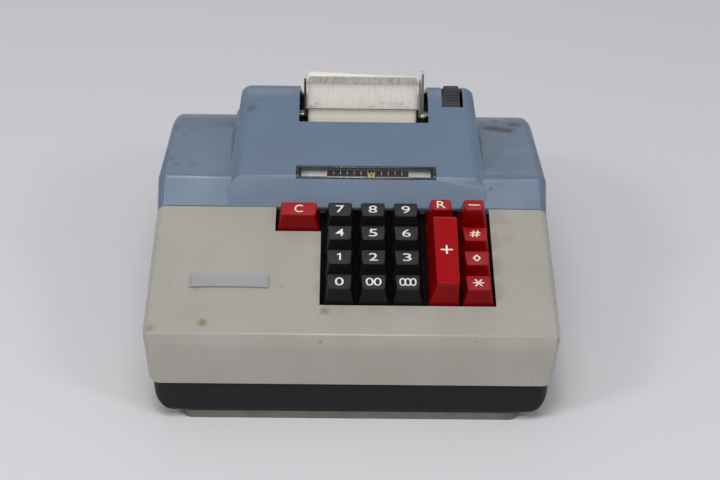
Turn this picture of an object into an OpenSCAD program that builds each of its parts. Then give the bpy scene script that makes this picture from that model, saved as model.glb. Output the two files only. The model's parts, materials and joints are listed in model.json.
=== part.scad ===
// Electric ten-key printing calculator of the 1960s, with a printed paper strip.
// Millimetres. X runs along the width, Y from the keyboard to the back, Z up.
// The origin is the middle of the footprint, on the table.

/* [Casing] */
// Width of the casing
casing_w = 229; // [216:1:250]
// Wall of the moulded covers
wall = 2.4; // [1.8:0.1:3]
// Height of the front top edge over the table
front_h = 58; // [54:1:64]
// Height at which the covers meet the base pan
skirt_z = 26; // [22:1:28]
// Slope of the keyboard face, in degrees
slope = 15.5; // [13:0.5:18]
// Length of the keyboard face up to the seam between the covers
slope_len = 97.8; // [96:0.1:104]
// Gap between the two covers at the seam
seam_gap = 0.4; // [0.2:0.1:0.8]
// Lean of the cover sides under the front top edge, in degrees
side_draft = 4.7; // [2:0.1:7]
// Radius of the long top edges of the covers
edge_r = 5.5; // [3:0.5:8]
// Radius of the upright corners of the keyboard cover
corner_r = 6.5; // [4:0.5:9]
// Radius of the covers' lower corners, seen from the front
foot_r = 4.5; // [3:0.5:6]
// Lean of the lip under the front top edge, in degrees
lip_lean = 72; // [66:1:80]
// Radius of the front top edge
nose_r = 1.8; // [1:0.1:3]

/* [Rear cover] */
// Angle of the band behind the keys, in degrees
band_angle = 50; // [42:1:58]
// Height of the band along its face, at the shoulders
band_len = 16.3; // [12:0.5:20]
// Height of the band along its face, at the hump
hump_band_len = 18.7; // [17:0.5:22]
// How far the middle of the band stands forward
band_step = 1.2; // [0.6:0.1:2]
// Fall of the shoulders towards the back, in degrees
shoulder_fall = 3; // [1:0.5:5]
// Length of the straight part of the shoulders
shoulder_run = 78; // [70:1:90]
// Radius of the back of the shoulders
back_r = 96; // [90:1:110]
// Width of the hump at half height
hump_w = 145; // [138:1:150]
// Offset of the hump's middle from the casing's middle
hump_x = 2.6; // [-2:0.1:6]
// Lean of the hump's flanks, in degrees
hump_draft = 9; // [6:1:12]
// Radius at the foot of the hump's flanks
hump_foot_r = 9.5; // [6:0.5:12]
// Slope of the hump's front face, in degrees
hump_slope = 30; // [28:1:32]
// Length of the hump's flat front face
hump_face = 50.5; // [46:0.5:53]
// Radius of the hump's top
hump_r = 26; // [22:1:30]
// Fall of the hump behind its top, in degrees
hump_fall = 28; // [26:1:32]
// Radius between the hump's flanks and its top
crown_r = 8; // [5:0.5:10]

/* [Paper opening and window] */
// Width of the paper opening
bay_w = 77.6; // [76:0.1:84]
// Offset of the paper opening from the casing's middle
bay_x = 6.5; // [4:0.1:9]
// Distance up the hump's face to the front edge of the paper opening
bay_start = 38; // [35:0.5:40]
// Width of the indicator window
window_w = 82.5; // [76:0.5:88]
// Offset of the window from the casing's middle
window_x = 7.9; // [5:0.1:11]
// Height of the window on the hump's face
window_up = 7; // [5:0.5:9]
// Height of the window on the band
window_down = 1.9; // [1:0.1:3]

/* [Name plate] */
// Width of the blank name plate
badge_w = 43.9; // [36:0.1:46]
// Height of the blank name plate
badge_h = 9.9; // [8:0.1:12]
// Thickness of the blank name plate
badge_t = 1.4; // [1:0.1:2]
// Distance of the name plate from the casing's left side
badge_in = 23.8; // [18:0.1:26]
// Distance up the keyboard face to the name plate
badge_up = 32.8; // [28:0.1:40]

/* [Base] */
// Inset of the base pan from the foot of the covers
pan_inset = 2; // [1:0.5:4]
// Thickness of the base pan
pan_t = 2.5; // [2:0.1:3.5]
// Radius of the base pan's lower edges at the sides
pan_side_r = 16; // [10:0.5:18]
// Radius of the base pan's lower edges at the front and back
pan_front_r = 3.5; // [3:0.5:8]
// Thickness of the pad under the base pan
pad_t = 5; // [3:0.5:7]
// Inset of the pad from the base pan's front and back
pad_inset = 1.7; // [0.5:0.1:6]

/* [Keyboard] */
// Distance between key centres
key_pitch = 19; // [18.6:0.1:19.4]
// Width of a key at its foot
key_foot = 17; // [16:0.1:17.6]
// Width of a key's finger face
key_top = 12.8; // [11:0.1:14]
// Height of an ordinary key over the cover
key_h = 9.5; // [8:0.5:11]
// Height of the plus bar over the cover
plus_h = 14; // [12:0.5:15]
// Height of the minus and repeat keys over the cover
tall_h = 14.3; // [12:0.5:16]
// Width of the clear key at its foot
clear_w = 24.1; // [23:0.1:25]
// Middle of the first column of number keys
first_x = -7.2; // [-9:0.1:-5]
// Gap between the number keys and the red keys, over the usual pitch
red_gap = 1.2; // [0.8:0.1:1.6]
// Distance up the keyboard face to the middle of the first row
first_row = 30.9; // [30:0.1:32]
// Depth of the key feet under the cover's face
key_sink = 2.5; // [2:0.1:3]
// Travel of a key
key_travel = 4; // [3:0.1:4.5]
// Gap between the keys and the edge of the keyboard cutout
cutout_gap = 1.4; // [1:0.1:2]
// The same gap at the left of the number keys
cutout_left = 2.4; // [1:0.1:3]
// Side of a square key stem
stem = 3.5; // [3:0.1:4]
// Clearance of a stem in its guide holes, all round
stem_gap = 0.2; // [0.15:0.05:0.3]
// Room between a pressed key and the upper guide plate
press_room = 1.5; // [1:0.1:2.5]
// Distance between the two guide plates
guide_space = 14.5; // [13:0.5:17]
// Thickness of the guide plates
guide_t = 1.5; // [1:0.1:2]
// Outer radius of a key's return spring
spring_r = 3.6; // [3.5:0.1:3.9]
// Thickness of a return spring's coil
spring_t = 0.7; // [0.4:0.1:0.8]

/* [Printer] */
// Distance from the front face to the platen's axis
platen_y = 166; // [164:0.5:168]
// Height of the platen's axis
platen_z = 110; // [109:0.5:111]
// Radius of the rubber platen
platen_r = 14; // [13:0.5:14.5]
// Radius of the platen shaft
shaft_r = 3; // [2.5:0.1:3.5]
// Radial clearance of every turning shaft in its bearing
run_fit = 0.05; // [0.02:0.01:0.09]
// Width of the paper
paper_w = 65.5; // [57:0.5:66]
// Thickness of the paper strip
paper_t = 0.25; // [0.2:0.05:0.4]
// Clearance between the paper and what it passes
paper_gap = 0.4; // [0.3:0.05:0.6]
// Lean of the paper and the tear bar, in degrees
paper_lean = 15; // [10:1:20]
// Radius of the paper's curl over the tear bar
curl_r = 8; // [6:0.5:10]
// Length of the straight paper between the platen and the curl
curl_up = 20; // [18:0.5:24]
// Height of the tear bar along its face
tear_h = 15.8; // [13:0.5:17]
// Thickness of the tear bar
tear_t = 1.2; // [0.8:0.1:1.5]
// Radius of the thumbwheel
wheel_r = 19; // [18.5:0.1:20]
// Width of the thumbwheel
wheel_w = 9.1; // [7:0.1:10]
// Distance of the thumbwheel's middle from the right side plate
wheel_in = 8; // [7:0.1:9]
// Number of ribs on the thumbwheel
wheel_ribs = 48; // [36:1:60]
// Radius of the pressure roller
roller_r = 4.5; // [4:0.1:5]

/* [Paper roll] */
// Distance from the front face to the roll's axis
roll_y = 226; // [224:0.5:228]
// Height of the roll's axis
roll_z = 76; // [74:0.5:78]
// Radius of the paper roll
roll_r = 22; // [16:0.5:23]
// Radius of the roll's spindle
spindle_r = 4; // [3:0.5:5]

/* [Mechanism] */
// Thickness of the side plates
plate_t = 2.5; // [2:0.1:3]
// Distance of the left side plate's inner face from the hump's side
plate_in_left = 10.4; // [9:0.1:12]
// Distance of the right side plate's inner face from the hump's side
plate_in_right = 7.1; // [6.6:0.1:7.6]
// Distance from the front face to the main shaft
main_y = 160; // [156:0.5:164]
// Height of the main shaft
main_z = 38; // [36:0.5:42]
// Radius of the main shaft
main_r = 4; // [3:0.5:5]
// Gear module
gear_m = 1; // [0.9:0.05:1.1]
// Teeth of the motor pinion
pinion_teeth = 12; // [12:1:16]
// Teeth of the main gear
gear_teeth = 48; // [40:1:50]
// Width of the gears
gear_w = 5; // [4:0.5:6]
// Play between the gear teeth
gear_play = 0.25; // [0.15:0.05:0.4]
// Radius of the motor
motor_r = 22; // [18:0.5:24]
// Room between the motor and the wall of the base pan
motor_room = 1; // [0.6:0.1:4]
// Distance from the front face to the type shaft
type_y = 128; // [127:0.5:129]
// Height of the type shaft
type_z = 86; // [85:0.5:87]
// Radius of the type shaft
type_shaft_r = 2.5; // [2:0.1:3]
// Number of type sectors, one for each figure of a sum
type_count = 12; // [8:1:12]
// Distance between type sectors
type_pitch = 4.05; // [3.6:0.05:4.2]
// Gap between the type faces and the paper
type_gap = 1.2; // [0.8:0.1:2]
// Height of the carriage rails
rail_z = 58; // [56:0.5:60]
// Radius of the carriage rails
rail_r = 2.5; // [2:0.1:3]
// Width of the pin carriage
carriage_w = 48; // [40:1:56]
// Radius of the ribbon spools' flanges
spool_r = 10.5; // [9.5:0.1:10.8]
// Radius of the ribbon wound on a spool
pack_r = 8; // [5:0.5:9]
// Width of the ribbon
ribbon_w = 11; // [9:0.5:11]

/* [Hidden] */
// Colours
BEIGE = "#b4b2aa";
BLUE = "#7b8b9c";
CHARCOAL = "#2b2a2b";
KEY_DARK = "#35343a";
KEY_RED = "#b3262c";
STEEL = "#a9aaa8";
BRASS = "#b79a55";
CLEAR = "#dfe6e8";
PAPER = "#efe9da";
RUBBER = "#1f1f20";

$fn = 48;
// Lead of the front face over the line where the keyboard face starts
nose = 2;
// Radius between the upright front face and its lip
lip_r = 20;
// Lean of the hump's back wall, and the radius over it
tail_lean = 10;
tail_r = 22;
// Height over the shoulders at which the hump's width is measured
half_height = 18;
// How far the round foot of the flanks dips under the shoulders, so that the two surfaces cross
foot_dip = 0.15;
// The same for other surfaces that would only touch
skim = 0.03;
crease_r = 3;
// Steps of a curve that a polygon follows
steps = 8;

function dir(a) = [cos(a), sin(a)];
// A point moved to the right of a line that runs at angle a, which is inwards on every outline here
function inset(p, a, d) = p + d * [sin(a), -cos(a)];
// Where the line through p at angle a meets the line through q at angle b
function meet(p, a, q, b) = p + dir(a) * (cross(q - p, dir(b)) / cross(dir(a), dir(b)));
// The rounded corner between two lines
function bend(p, a, q, b, r, n = steps) =
    let (c = meet(inset(p, a, r), a, inset(q, b, r), b))
    [for (i = [0:n]) let (t = a + (b - a) * i / n) c + r * [-sin(t), cos(t)]];
function arc(c, r, a, b, n = steps) = [for (i = [0:n]) c + r * dir(a + (b - a) * i / n)];
function mirrored(points) = [for (i = [len(points) - 1:-1:0]) [-points[i][0], points[i][1]]];

// Depth of the casing, which sets where the front face stands
back_z = front_h + slope_len * sin(slope) + band_len * sin(band_angle)
    - shoulder_run * sin(shoulder_fall) - back_r * cos(shoulder_fall);
casing_d = nose + slope_len * cos(slope) + band_len * cos(band_angle) + shoulder_run * cos(shoulder_fall)
    - back_r * sin(shoulder_fall) + sqrt(pow(back_r, 2) - pow(back_z - skirt_z, 2));
y_front = -casing_d / 2;
y_back = casing_d / 2;

// Side outline of the casing, as points in Y and Z
nose_line = [y_front + nose, front_h];
seam = nose_line + slope_len * dir(slope);
crease = seam + band_len * dir(band_angle);
hump_crease = seam + hump_band_len * dir(band_angle) - [sin(band_angle), -cos(band_angle)] * band_step;
face_end = hump_crease + hump_face * dir(hump_slope);
hump_c = inset(face_end, hump_slope, hump_r);
fall_start = hump_c + hump_r * [sin(hump_fall), cos(hump_fall)];
back_c = crease + shoulder_run * dir(-shoulder_fall) - back_r * [sin(shoulder_fall), cos(shoulder_fall)];
hump_top = hump_c[1] + hump_r;
foot_half = casing_w / 2 - (front_h - skirt_z) * tan(side_draft);
// Long enough to reach past the casing on every side
reach = 2 * casing_w;

// An outline in X and Z drawn out along Y, and one in Y and Z drawn out along X
module along(y0, y1) { translate([0, y1, 0]) rotate([90, 0, 0]) linear_extrude(y1 - y0) children(); }
module across(x0, x1) { translate([x0, 0, 0]) rotate([90, 0, 90]) linear_extrude(x1 - x0) children(); }
// The keyboard's own frame: Y up the slope and Z out of the cover
module on_keyboard() { translate([0, nose_line[0], nose_line[1]]) rotate([slope, 0, 0]) children(); }
module at(y, z, x = 0) { translate([x, y_front + y, z]) children(); }
module shaft(r, x0, x1) { translate([x0, 0, 0]) rotate([0, 90, 0]) cylinder(r = r, h = x1 - x0); }

// A rectangle with rounded corners, from its half width and half length
function rounded(half, long, r) = [for (q = [0:3]) let (x = q < 2 ? 1 : -1, y = q == 0 || q == 3 ? 1 : -1)
    each arc([x * (half - r), y * (long - r)], r, 90 - 90 * q, -90 * q)];
// Top outline with rounded sides, from the surface at height 0 down
function slab(half, r, deep) = let (right = arc([half - r, -r], r, 0, 90))
    concat([[half, -deep]], right, mirrored(right), [[-half, -deep]]);
// The sides, upright over the front top edge and leaning in under it, with round lower corners
function sides(t) =
    let (x = casing_w / 2 - t, foot = t > 0 ? t : -skim,
         low = bend([x, front_h], -90 - side_draft, [0, skirt_z + foot], -180, foot_r - t, 6),
         right = concat([[x, reach], [x, front_h]], low, t > 0 ? [[low[6][0], skirt_z - 2 * t]] : []))
    concat(right, mirrored(right));

// What a piece of the right side and its mirror image at the left have in common
module for_both() { intersection() { children(); mirror([1, 0, 0]) children(); } }

// The front cover's filled outline, brought in by t
module front_solid(t = 0) {
    below = t > 0 ? 2 : 0;
    edge = seam[0] - seam_gap / 2 + below;
    rise = inset(nose_line, slope, t);
    lip = inset(nose_line, lip_lean, t);
    intersection() {
        across(-casing_w, casing_w) polygon(concat(
            [[y_front + t, skirt_z - below]],
            bend([y_front + t, 0], 90, lip, lip_lean, lip_r - t, 4),
            bend(lip, lip_lean, rise, slope, max(0.5, nose_r - t), 5),
            [meet(rise, slope, [edge, 0], 90), [edge, skirt_z - below]]));
        on_keyboard() along(-reach, reach) polygon([for (p = slab(casing_w / 2 - t, edge_r - t, reach))
            p - [0, t]]);
        along(y_front - 1, seam[0] + edge_r) polygon(sides(t));
        // The upright corners lean in with the sides
        for_both() translate([casing_w / 2 - t, y_front + t, front_h]) rotate([0, side_draft, 0])
            linear_extrude(reach, center = true)
                polygon(concat([[-reach, 0]], arc([t - corner_r, corner_r - t], corner_r - t, -90, 0, 6),
                    [[0, reach], [-reach, reach]]));
    }
}

// An outline carried back along the shoulders and down round their curve. The curve starts early and stands
// proud by a little, so that it crosses the straight part
module crowned(outline, proud) {
    translate([0, crease[0], crease[1]]) rotate([-shoulder_fall, 0, 0])
        along(-2 * band_len, shoulder_run) polygon(outline);
    translate([0, back_c[0], back_c[1]]) rotate([0, -90, 0]) rotate([0, 0, shoulder_fall - 6])
        rotate_extrude(angle = 100, $fn = 96)
            polygon([for (p = outline) [max(1, back_r + proud + p[1]), p[0] + sign(p[0]) * proud]]);
}
// The rear cover's shoulders as a filled outline
module shoulders(t = 0) {
    band = inset(seam, band_angle, t);
    fall = inset(crease, -shoulder_fall, t);
    below = t > 0 ? 2 : 0;
    edge = seam[0] + seam_gap / 2 - below;
    intersection() {
        crowned([for (p = slab(casing_w / 2 - t + skim, edge_r - t, back_r - 2)) p - [0, t]], skim);
        across(-casing_w, casing_w) polygon(concat(
            [[edge, skirt_z - below], meet([edge, 0], 90, band, band_angle)],
            bend(band, band_angle, fall, -shoulder_fall, crease_r),
            [fall + edge_r * dir(-shoulder_fall), fall + [edge_r, band_len], [y_back + edge_r,
                crease[1] + band_len],
             [y_back + edge_r, skirt_z - below]]));
        translate([0, seam[0], seam[1]]) rotate([band_angle, 0, 0]) along(-reach, reach)
            polygon([for (p = slab(casing_w / 2 - t + skim, edge_r + 0.5 - t, reach)) p - [0, t]]);
        along(seam[0] - edge_r, y_back + edge_r) polygon(sides(t));
    }
}

// The hump's cross-section over the shoulders, with its leaning flanks. Outside they have round feet
function hump_section(t) =
    let (mid = hump_w / 2 + half_height * tan(hump_draft) - t / cos(hump_draft), high = 2 * hump_r,
         foot = [mid + hump_foot_r * (1 / cos(hump_draft) - tan(hump_draft)), hump_foot_r - foot_dip],
         right = concat(t > 0 ? [[mid + (back_r - 2) * tan(hump_draft), 2 - back_r]]
            : concat([[foot[0], 2 - back_r]], arc(foot, hump_foot_r, 270, 180 + hump_draft, 6)),
            [[mid - high * tan(hump_draft), high]]))
    concat(right, mirrored(right));
// The hump's side outline, brought in by t, with its band standing forward by ahead
function hump_side(t, ahead) =
    let (band = inset(seam, band_angle, t - ahead), face = inset(hump_crease, hump_slope, t),
         fall = inset(fall_start, -hump_fall, t), tail = inset([y_back, skirt_z], tail_lean - 90, t),
         below = t > 0 ? 2 : 0, edge = seam[0] + seam_gap / 2 - below)
    concat([[edge, skirt_z - below], meet([edge, 0], 90, band, band_angle)],
        bend(band, band_angle, face, hump_slope, crease_r / 2, 4),
        bend(face, hump_slope, fall, -hump_fall, hump_r - t, 12),
        bend(fall, -hump_fall, tail, tail_lean - 90, tail_r - t),
        [meet(tail, tail_lean - 90, [0, skirt_z - below], 0)]);
// Half the hump's width at a height over the table, without the wall t
function hump_half(z, t) = hump_w / 2 + (half_height - z + crease[1]) * tan(hump_draft)
    - t / cos(hump_draft);
// The rounded edge between a flank and a face that slopes by a, as a profile square to that edge.
// The edge is at the origin, and the profile stands proud by a little so that the surfaces cross
function edge_profile(a, r, deep) =
    let (turn = acos(sin(hump_draft) * cos(a)), c = [skim - r * tan(turn / 2), skim - r],
         round = arc(c, r, 90 - turn, 90, 6))
    concat([round[0] + deep * dir(3 - turn)], round, [[-reach, skim], [-reach, -deep]]);
// A slab that follows a face of the hump between two distances, with both its edges rounded
module edged(p, a, from, to, t) intersection() {
    for_both() translate([hump_half(p[1], t), p[0], p[1]]) rotate([a, 0, 0])
        rotate([0, 0, atan(tan(hump_draft) * sin(a))]) along(-reach, reach)
            polygon(edge_profile(a, crown_r - t, reach / 2));
    translate([0, p[0], p[1]]) rotate([a, 0, 0]) translate([-casing_w, from, -reach])
        cube([2 * casing_w, to - from, 2 * reach]);
}
// The same round the hump's top, a little prouder again
module edged_top(t) {
    half = hump_half(inset(face_end, hump_slope, t)[1], t);
    right = concat([[half + 6, t + 0.5 - hump_r]],
        [for (p = edge_profile(0, crown_r - t, hump_r - crown_r - 2)) if (p[0] > -reach) p + [half, 0]]);
    translate([0, hump_c[0], hump_c[1]]) rotate([0, -90, 0]) rotate([0, 0, -hump_slope - 2])
        rotate_extrude(angle = hump_fall + hump_slope + 4, $fn = 96)
            polygon([for (p = concat(right, mirrored(right))) [hump_r - t + p[1] + skim,
                p[0] + sign(p[0]) * skim]]);
}
module hump(t = 0) {
    face = inset(hump_crease, hump_slope, t);
    fall = inset(fall_start, -hump_fall, t);
    intersection() {
        translate([hump_x, 0, 0]) crowned(hump_section(t), 2 * skim);
        union() {
            across(-casing_w, casing_w) polygon(hump_side(t, -skim));
            translate([hump_x, 0, 0]) across(t - hump_w / 2 - 3, hump_w / 2 + 3 - t)
                polygon(hump_side(t, band_step));
        }
        translate([hump_x, 0, 0]) {
            edged(face, hump_slope, -reach / 2, hump_face + 0.5, t);
            edged(fall, -hump_fall, -0.5, reach / 2, t);
            edged_top(t);
        }
    }
}
module rear_solid(t = 0) { shoulders(t); hump(t); }

// Keys: name, column, row and style; a column counts from the first number keys, a row from the front
KEYS = [
    ["key_0", 0, 0, "plain"], ["key_00", 1, 0, "plain"], ["key_000", 2, 0, "plain"],
    ["key_1", 0, 1, "plain"], ["key_2", 1, 1, "plain"], ["key_3", 2, 1, "plain"],
    ["key_4", 0, 2, "plain"], ["key_5", 1, 2, "plain"], ["key_6", 2, 2, "plain"],
    ["key_7", 0, 3, "plain"], ["key_8", 1, 3, "plain"], ["key_9", 2, 3, "plain"],
    ["key_clear", -1, 3, "wide"], ["key_repeat", 3, 3, "tall"], ["key_plus", 3, 1, "bar"],
    ["key_minus", 4, 3, "tall"], ["key_nonadd", 4, 2, "plain"], ["key_subtotal", 4, 1, "plain"],
    ["key_total", 4, 0, "plain"]];
clear_gap = 3.3;
top_tilt = 9.5;
// Size and place of a key from its row in the list above
function red(k) = k[1] < 0 || k[1] > 2;
function foot_w(k) = k[3] == "wide" ? clear_w : key_foot;
function foot_l(k) = k[3] == "bar" ? key_foot + 2 * key_pitch : key_foot;
function key_x(k) = k[1] < 0 ? first_x - key_foot / 2 - clear_gap - clear_w / 2
    : first_x + k[1] * key_pitch + (k[1] > 2 ? red_gap : 0);
function key_s(k) = first_row + k[2] * key_pitch;
function cap_h(k) = k[3] == "tall" ? tall_h : k[3] == "bar" ? plus_h : key_h;
function cap_w(k) = k[3] == "wide" ? key_top + clear_w - key_foot : k[3] == "tall" ? key_top - 2.2 : key_top;
function cap_l(k) = k[3] == "bar" ? foot_l(k) - 3 : k[3] == "tall" ? key_top - 2.6 : key_top;
function cap_in(k) = k[3] == "plain" || k[3] == "wide" ? 2.3 : 3;
function cap_x(k) = k[3] == "bar" ? 1.8 : 0;
function cap_tilt(k) = k[3] == "bar" ? 0 : top_tilt;
function stems(k) = k[3] == "bar" ? [-key_pitch, key_pitch] : [0];

// Base
pan_foot = pad_t + pan_t;
screw_x = casing_w / 2 - 26.5;
screw_y = [12.5, casing_d - 28];
screw_r = 1.5;
module at_screws() { for (x = [-screw_x, screw_x], y = screw_y) at(y, 0, x) children(); }
function pan_outline(half, r, z0, z1) = let (low = arc([half - r, z0 + r], r, 0, -90))
    concat([[half, z1]], low, mirrored(low), [[-half, z1]]);
module pan_solid(t = 0) {
    z1 = skirt_z - seam_gap + (t > 0 ? 5 : 0);
    half = foot_half - pan_inset - t;
    long = casing_d / 2 - pan_inset - t;
    intersection() {
        along(y_front, y_back) polygon(pan_outline(half, pan_side_r - t, pad_t + t, z1));
        across(-casing_w, casing_w) polygon(pan_outline(long, pan_front_r - t, pad_t + t, z1));
        linear_extrude(casing_w) polygon(rounded(half, long, corner_r - t));
    }
}
module base_pan() color(CHARCOAL) difference() {
    pan_solid();
    pan_solid(pan_t);
    at_screws() cylinder(r = screw_r + 0.3, h = 40);
}
head_r = 3.2;
head_t = 2.2;
screw_len = 14;
// The pad lies under the flat part of the pan
module base_pad() color("#6f6b64") difference() {
    linear_extrude(pad_t)
        polygon(rounded(foot_half - pan_inset - pan_side_r, casing_d / 2 - pan_inset - pad_inset, pad_t));
    at_screws() translate([0, 0, -1]) cylinder(r = head_r + 0.8, h = pad_t + 2);
}
module cover_screws() color(STEEL) at_screws() {
    translate([0, 0, pad_t - head_t]) difference() {
        cylinder(r = head_r, h = head_t);
        translate([-head_r - 1, -0.4, -1]) cube([2 * head_r + 2, 0.8, 1.8]);
    }
    translate([0, 0, pad_t - 0.2]) cylinder(r = screw_r - run_fit, h = screw_len + 0.2);
}

// Covers
boss_r = 5;
module boss(top) difference() {
    translate([0, 0, pan_foot]) cylinder(r = boss_r, h = top - pan_foot);
    cylinder(r = screw_r, h = pad_t + screw_len + 2);
}
key_left = key_x(KEYS[0]) - key_foot / 2 - cutout_left;
key_right = key_x(KEYS[15]) + key_foot / 2 + cutout_gap;
key_front = first_row - key_foot / 2 - cutout_gap;
clear_left = key_x(KEYS[12]) - clear_w / 2 - cutout_gap;
clear_front = key_s(KEYS[12]) - key_foot / 2 - cutout_gap;
module key_cutout() on_keyboard() {
    translate([key_left, key_front, -key_foot]) cube([key_right - key_left, slope_len, 2 * key_foot]);
    translate([clear_left, clear_front, -key_foot]) cube([key_left - clear_left + 1, slope_len,
        2 * key_foot]);
}
module front_cover() color(BEIGE) {
    difference() {
        front_solid();
        front_solid(wall);
        key_cutout();
    }
    for (x = [-screw_x, screw_x]) at(screw_y[0], 0, x)
        boss(front_h + (screw_y[0] - boss_r - nose) * tan(slope) - 0.3);
}
// The window's side outline between two depths under the hump, open at both ends
function window_line(d, up, down) =
    let (band = inset(seam, band_angle, d - band_step), face = inset(hump_crease, hump_slope, d),
         corner = meet(band, band_angle, face, hump_slope))
    [inset(hump_crease, band_angle, d) - down * dir(band_angle), corner,
     inset(hump_crease, hump_slope, d) + up * dir(hump_slope)];
function window_outline(d0, d1, up, down) = let (a = window_line(d0, up, down), b = window_line(d1, up,
    down))
    [a[0], a[1], a[2], b[2], b[1], b[0]];
function window_hole(d0, d1, up, down) = let (a = window_line(d0, up, down), b = window_line(d1, up, down))
    [a[0], a[1], a[2], b[2], b[0]];
lens_gap = 0.15;
bay_line = hump_crease + bay_start * dir(hump_slope);
bay_back = roll_y + roll_r + 5;
wheel_slot = wheel_w / 2 + 1.8;
wheel_x = hump_x + hump_w / 2 - plate_in_right - wheel_in;
// Where the thumbwheel's slot starts, in front of the wheel's axis
wheel_front = wheel_r - 3.2;
inlet_w = 26;
inlet_h = 16;
inlet_x = -45;
inlet_z = 42;
inlet_deep = 20;
// Height of the shoulders over the table, and the place of the hump's back wall
function shoulder_z(y) = back_c[1] + sqrt(pow(back_r, 2) - pow(y - back_c[0], 2));
function tail_y(z) = y_back - (z - skirt_z) * tan(tail_lean);
module rear_cover() color(BLUE) {
    difference() {
        rear_solid();
        rear_solid(wall);
        translate([bay_x - bay_w / 2, bay_line[0], roll_z]) cube([bay_w,
            y_front + bay_back - bay_line[0], roll_z]);
        at(platen_y - wheel_front, platen_z, wheel_x - wheel_slot)
            cube([2 * wheel_slot, wheel_front + wheel_r + 1.5, 2 * wheel_r]);
        across(window_x - window_w / 2, window_x + window_w / 2)
            polygon(window_hole(-5, wall + 3, window_up, window_down));
        translate([inlet_x - inlet_w / 2, tail_y(inlet_z) - inlet_deep, inlet_z - inlet_h / 2])
            cube([inlet_w, 2 * inlet_deep, inlet_h]);
    }
    for (x = [-screw_x, screw_x]) at(screw_y[1], 0, x) boss(shoulder_z(y_front + screw_y[1] + boss_r) - 0.8);
}
module badge_plate() color("#c9c9cb") on_keyboard()
    translate([badge_in - casing_w / 2, badge_up, 0]) cube([badge_w, badge_h, badge_t]);
module window_lens() color(CLEAR) across(window_x - window_w / 2 + lens_gap,
    window_x + window_w / 2 - lens_gap)
    polygon(window_outline(-0.4, wall, window_up - lens_gap, window_down - lens_gap));
// Depth of the scale and of the pointer under the hump's face
scale_depth = 5.6;
pointer_depth = 4.2;
module indicator_scale() color("#26262a") {
    across(window_x - window_w / 2 + 3, window_x + window_w / 2 - 3)
        polygon(scale_outline(scale_depth, scale_depth + 1, window_up + 2.5));
    for (x = [window_x - window_w / 2 + 3, window_x + window_w / 2 - 5])
        across(x, x + 2) polygon(scale_outline(wall, scale_depth + 0.5, window_up + 6, window_up + 1.5));
}
// A strip parallel to the hump's face between two depths, from the crease up to a distance
function scale_outline(d0, d1, up, from = 3) =
    let (p = inset(hump_crease, hump_slope, d0), q = inset(hump_crease, hump_slope, d1))
    [p + from * dir(hump_slope), p + up * dir(hump_slope), q + up * dir(hump_slope),
        q + from * dir(hump_slope)];
module power_inlet() color(RUBBER) {
    gap = 0.2;
    low = inlet_z - inlet_h / 2 + gap;
    high = inlet_z + inlet_h / 2 - gap;
    front = tail_y(high) - inlet_deep;
    difference() {
        across(inlet_x - inlet_w / 2 + gap, inlet_x + inlet_w / 2 - gap)
            polygon([[front, low], [tail_y(low) - 0.5, low], [tail_y(high) - 0.5, high], [front, high]]);
        for (x = [-6, 6]) translate([inlet_x + x, front + 6, inlet_z]) rotate([-90, 0, 0])
            cylinder(r = 2.5, h = 30);
    }
    translate([inlet_x - 8, front, pan_foot]) cube([16, 3, low - pan_foot + 0.5]);
}

// Keys
guide_depth = key_sink + key_travel + press_room;
collar_t = 1.5;
collar_r = spring_r + 0.3;
collar_gap = 0.3;
lower_depth = guide_depth + guide_t + guide_space;
module key_cap(k) {
    w = foot_w(k);
    l = foot_l(k);
    r = 0.9;
    hull() {
        for (x = [r - w / 2, w / 2 - r], y = [r - l / 2, l / 2 - r])
            translate([x, y, -key_sink]) cylinder(r = r, h = 1.5, $fn = 12);
        for (x = [-1, 1], y = [0, 1])
            translate([cap_x(k) + x * (cap_w(k) / 2 - r + 0.5 * y), cap_in(k)
                - l / 2 + r + y * (cap_l(k) - 2 * r),
                       cap_h(k) - r - y * cap_l(k) * sin(cap_tilt(k))])
                sphere(r = r, $fn = 16);
    }
}
module key(k) color(red(k) ? KEY_RED : KEY_DARK) on_keyboard() translate([key_x(k), key_s(k), 0]) {
    key_cap(k);
    for (s = stems(k)) translate([0, s, 0]) {
        deep = lower_depth + guide_t + 1;
        translate([-stem / 2, -stem / 2, -deep]) cube([stem, stem, deep]);
        translate([0, 0, -guide_depth - guide_t - collar_gap - collar_t]) cylinder(r = collar_r,
            h = collar_t);
    }
}
module at_stems() for (k = KEYS, s = stems(k)) translate([key_x(k), key_s(k) + s, 0]) children();
guide_x = [clear_left - 4, key_right + 2];
guide_s = [key_front - 6, first_row + 3 * key_pitch + key_foot / 2 + 3];
post_r = 3;
post_in = post_r + 2;
module at_posts() for (x = [guide_x[0] + post_in, guide_x[1] - post_in])
    for (s = [guide_s[0] + post_in - 1, guide_s[1] - post_in + 1]) translate([x, s, 0]) children();
module key_guide_plates() color(CHARCOAL) for (depth = [guide_depth, lower_depth]) on_keyboard()
    difference() {
    translate([guide_x[0], guide_s[0], -depth - guide_t])
        cube([guide_x[1] - guide_x[0], guide_s[1] - guide_s[0], guide_t]);
    at_stems() translate([-stem / 2 - stem_gap, -stem / 2 - stem_gap, -depth - guide_t - 1])
        cube([stem + 2 * stem_gap, stem + 2 * stem_gap, guide_t + 2]);
}
module keyboard_posts() color(STEEL) {
    on_keyboard() at_posts() translate([0, 0, -lower_depth]) cylinder(r = post_r, h = guide_space);
    intersection() {
        on_keyboard() at_posts() translate([0, 0, -lower_depth - guide_t - front_h])
            cylinder(r = post_r, h = front_h);
        translate([-casing_w, -casing_d, pan_foot]) cube([2 * casing_w, 2 * casing_d, front_h]);
    }
}
module key_springs() color(STEEL) on_keyboard() at_stems() translate([0, 0, -lower_depth]) difference() {
    cylinder(r = spring_r, h = guide_space - collar_t - collar_gap);
    translate([0, 0, -1]) cylinder(r = spring_r - spring_t, h = guide_space);
}

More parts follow.
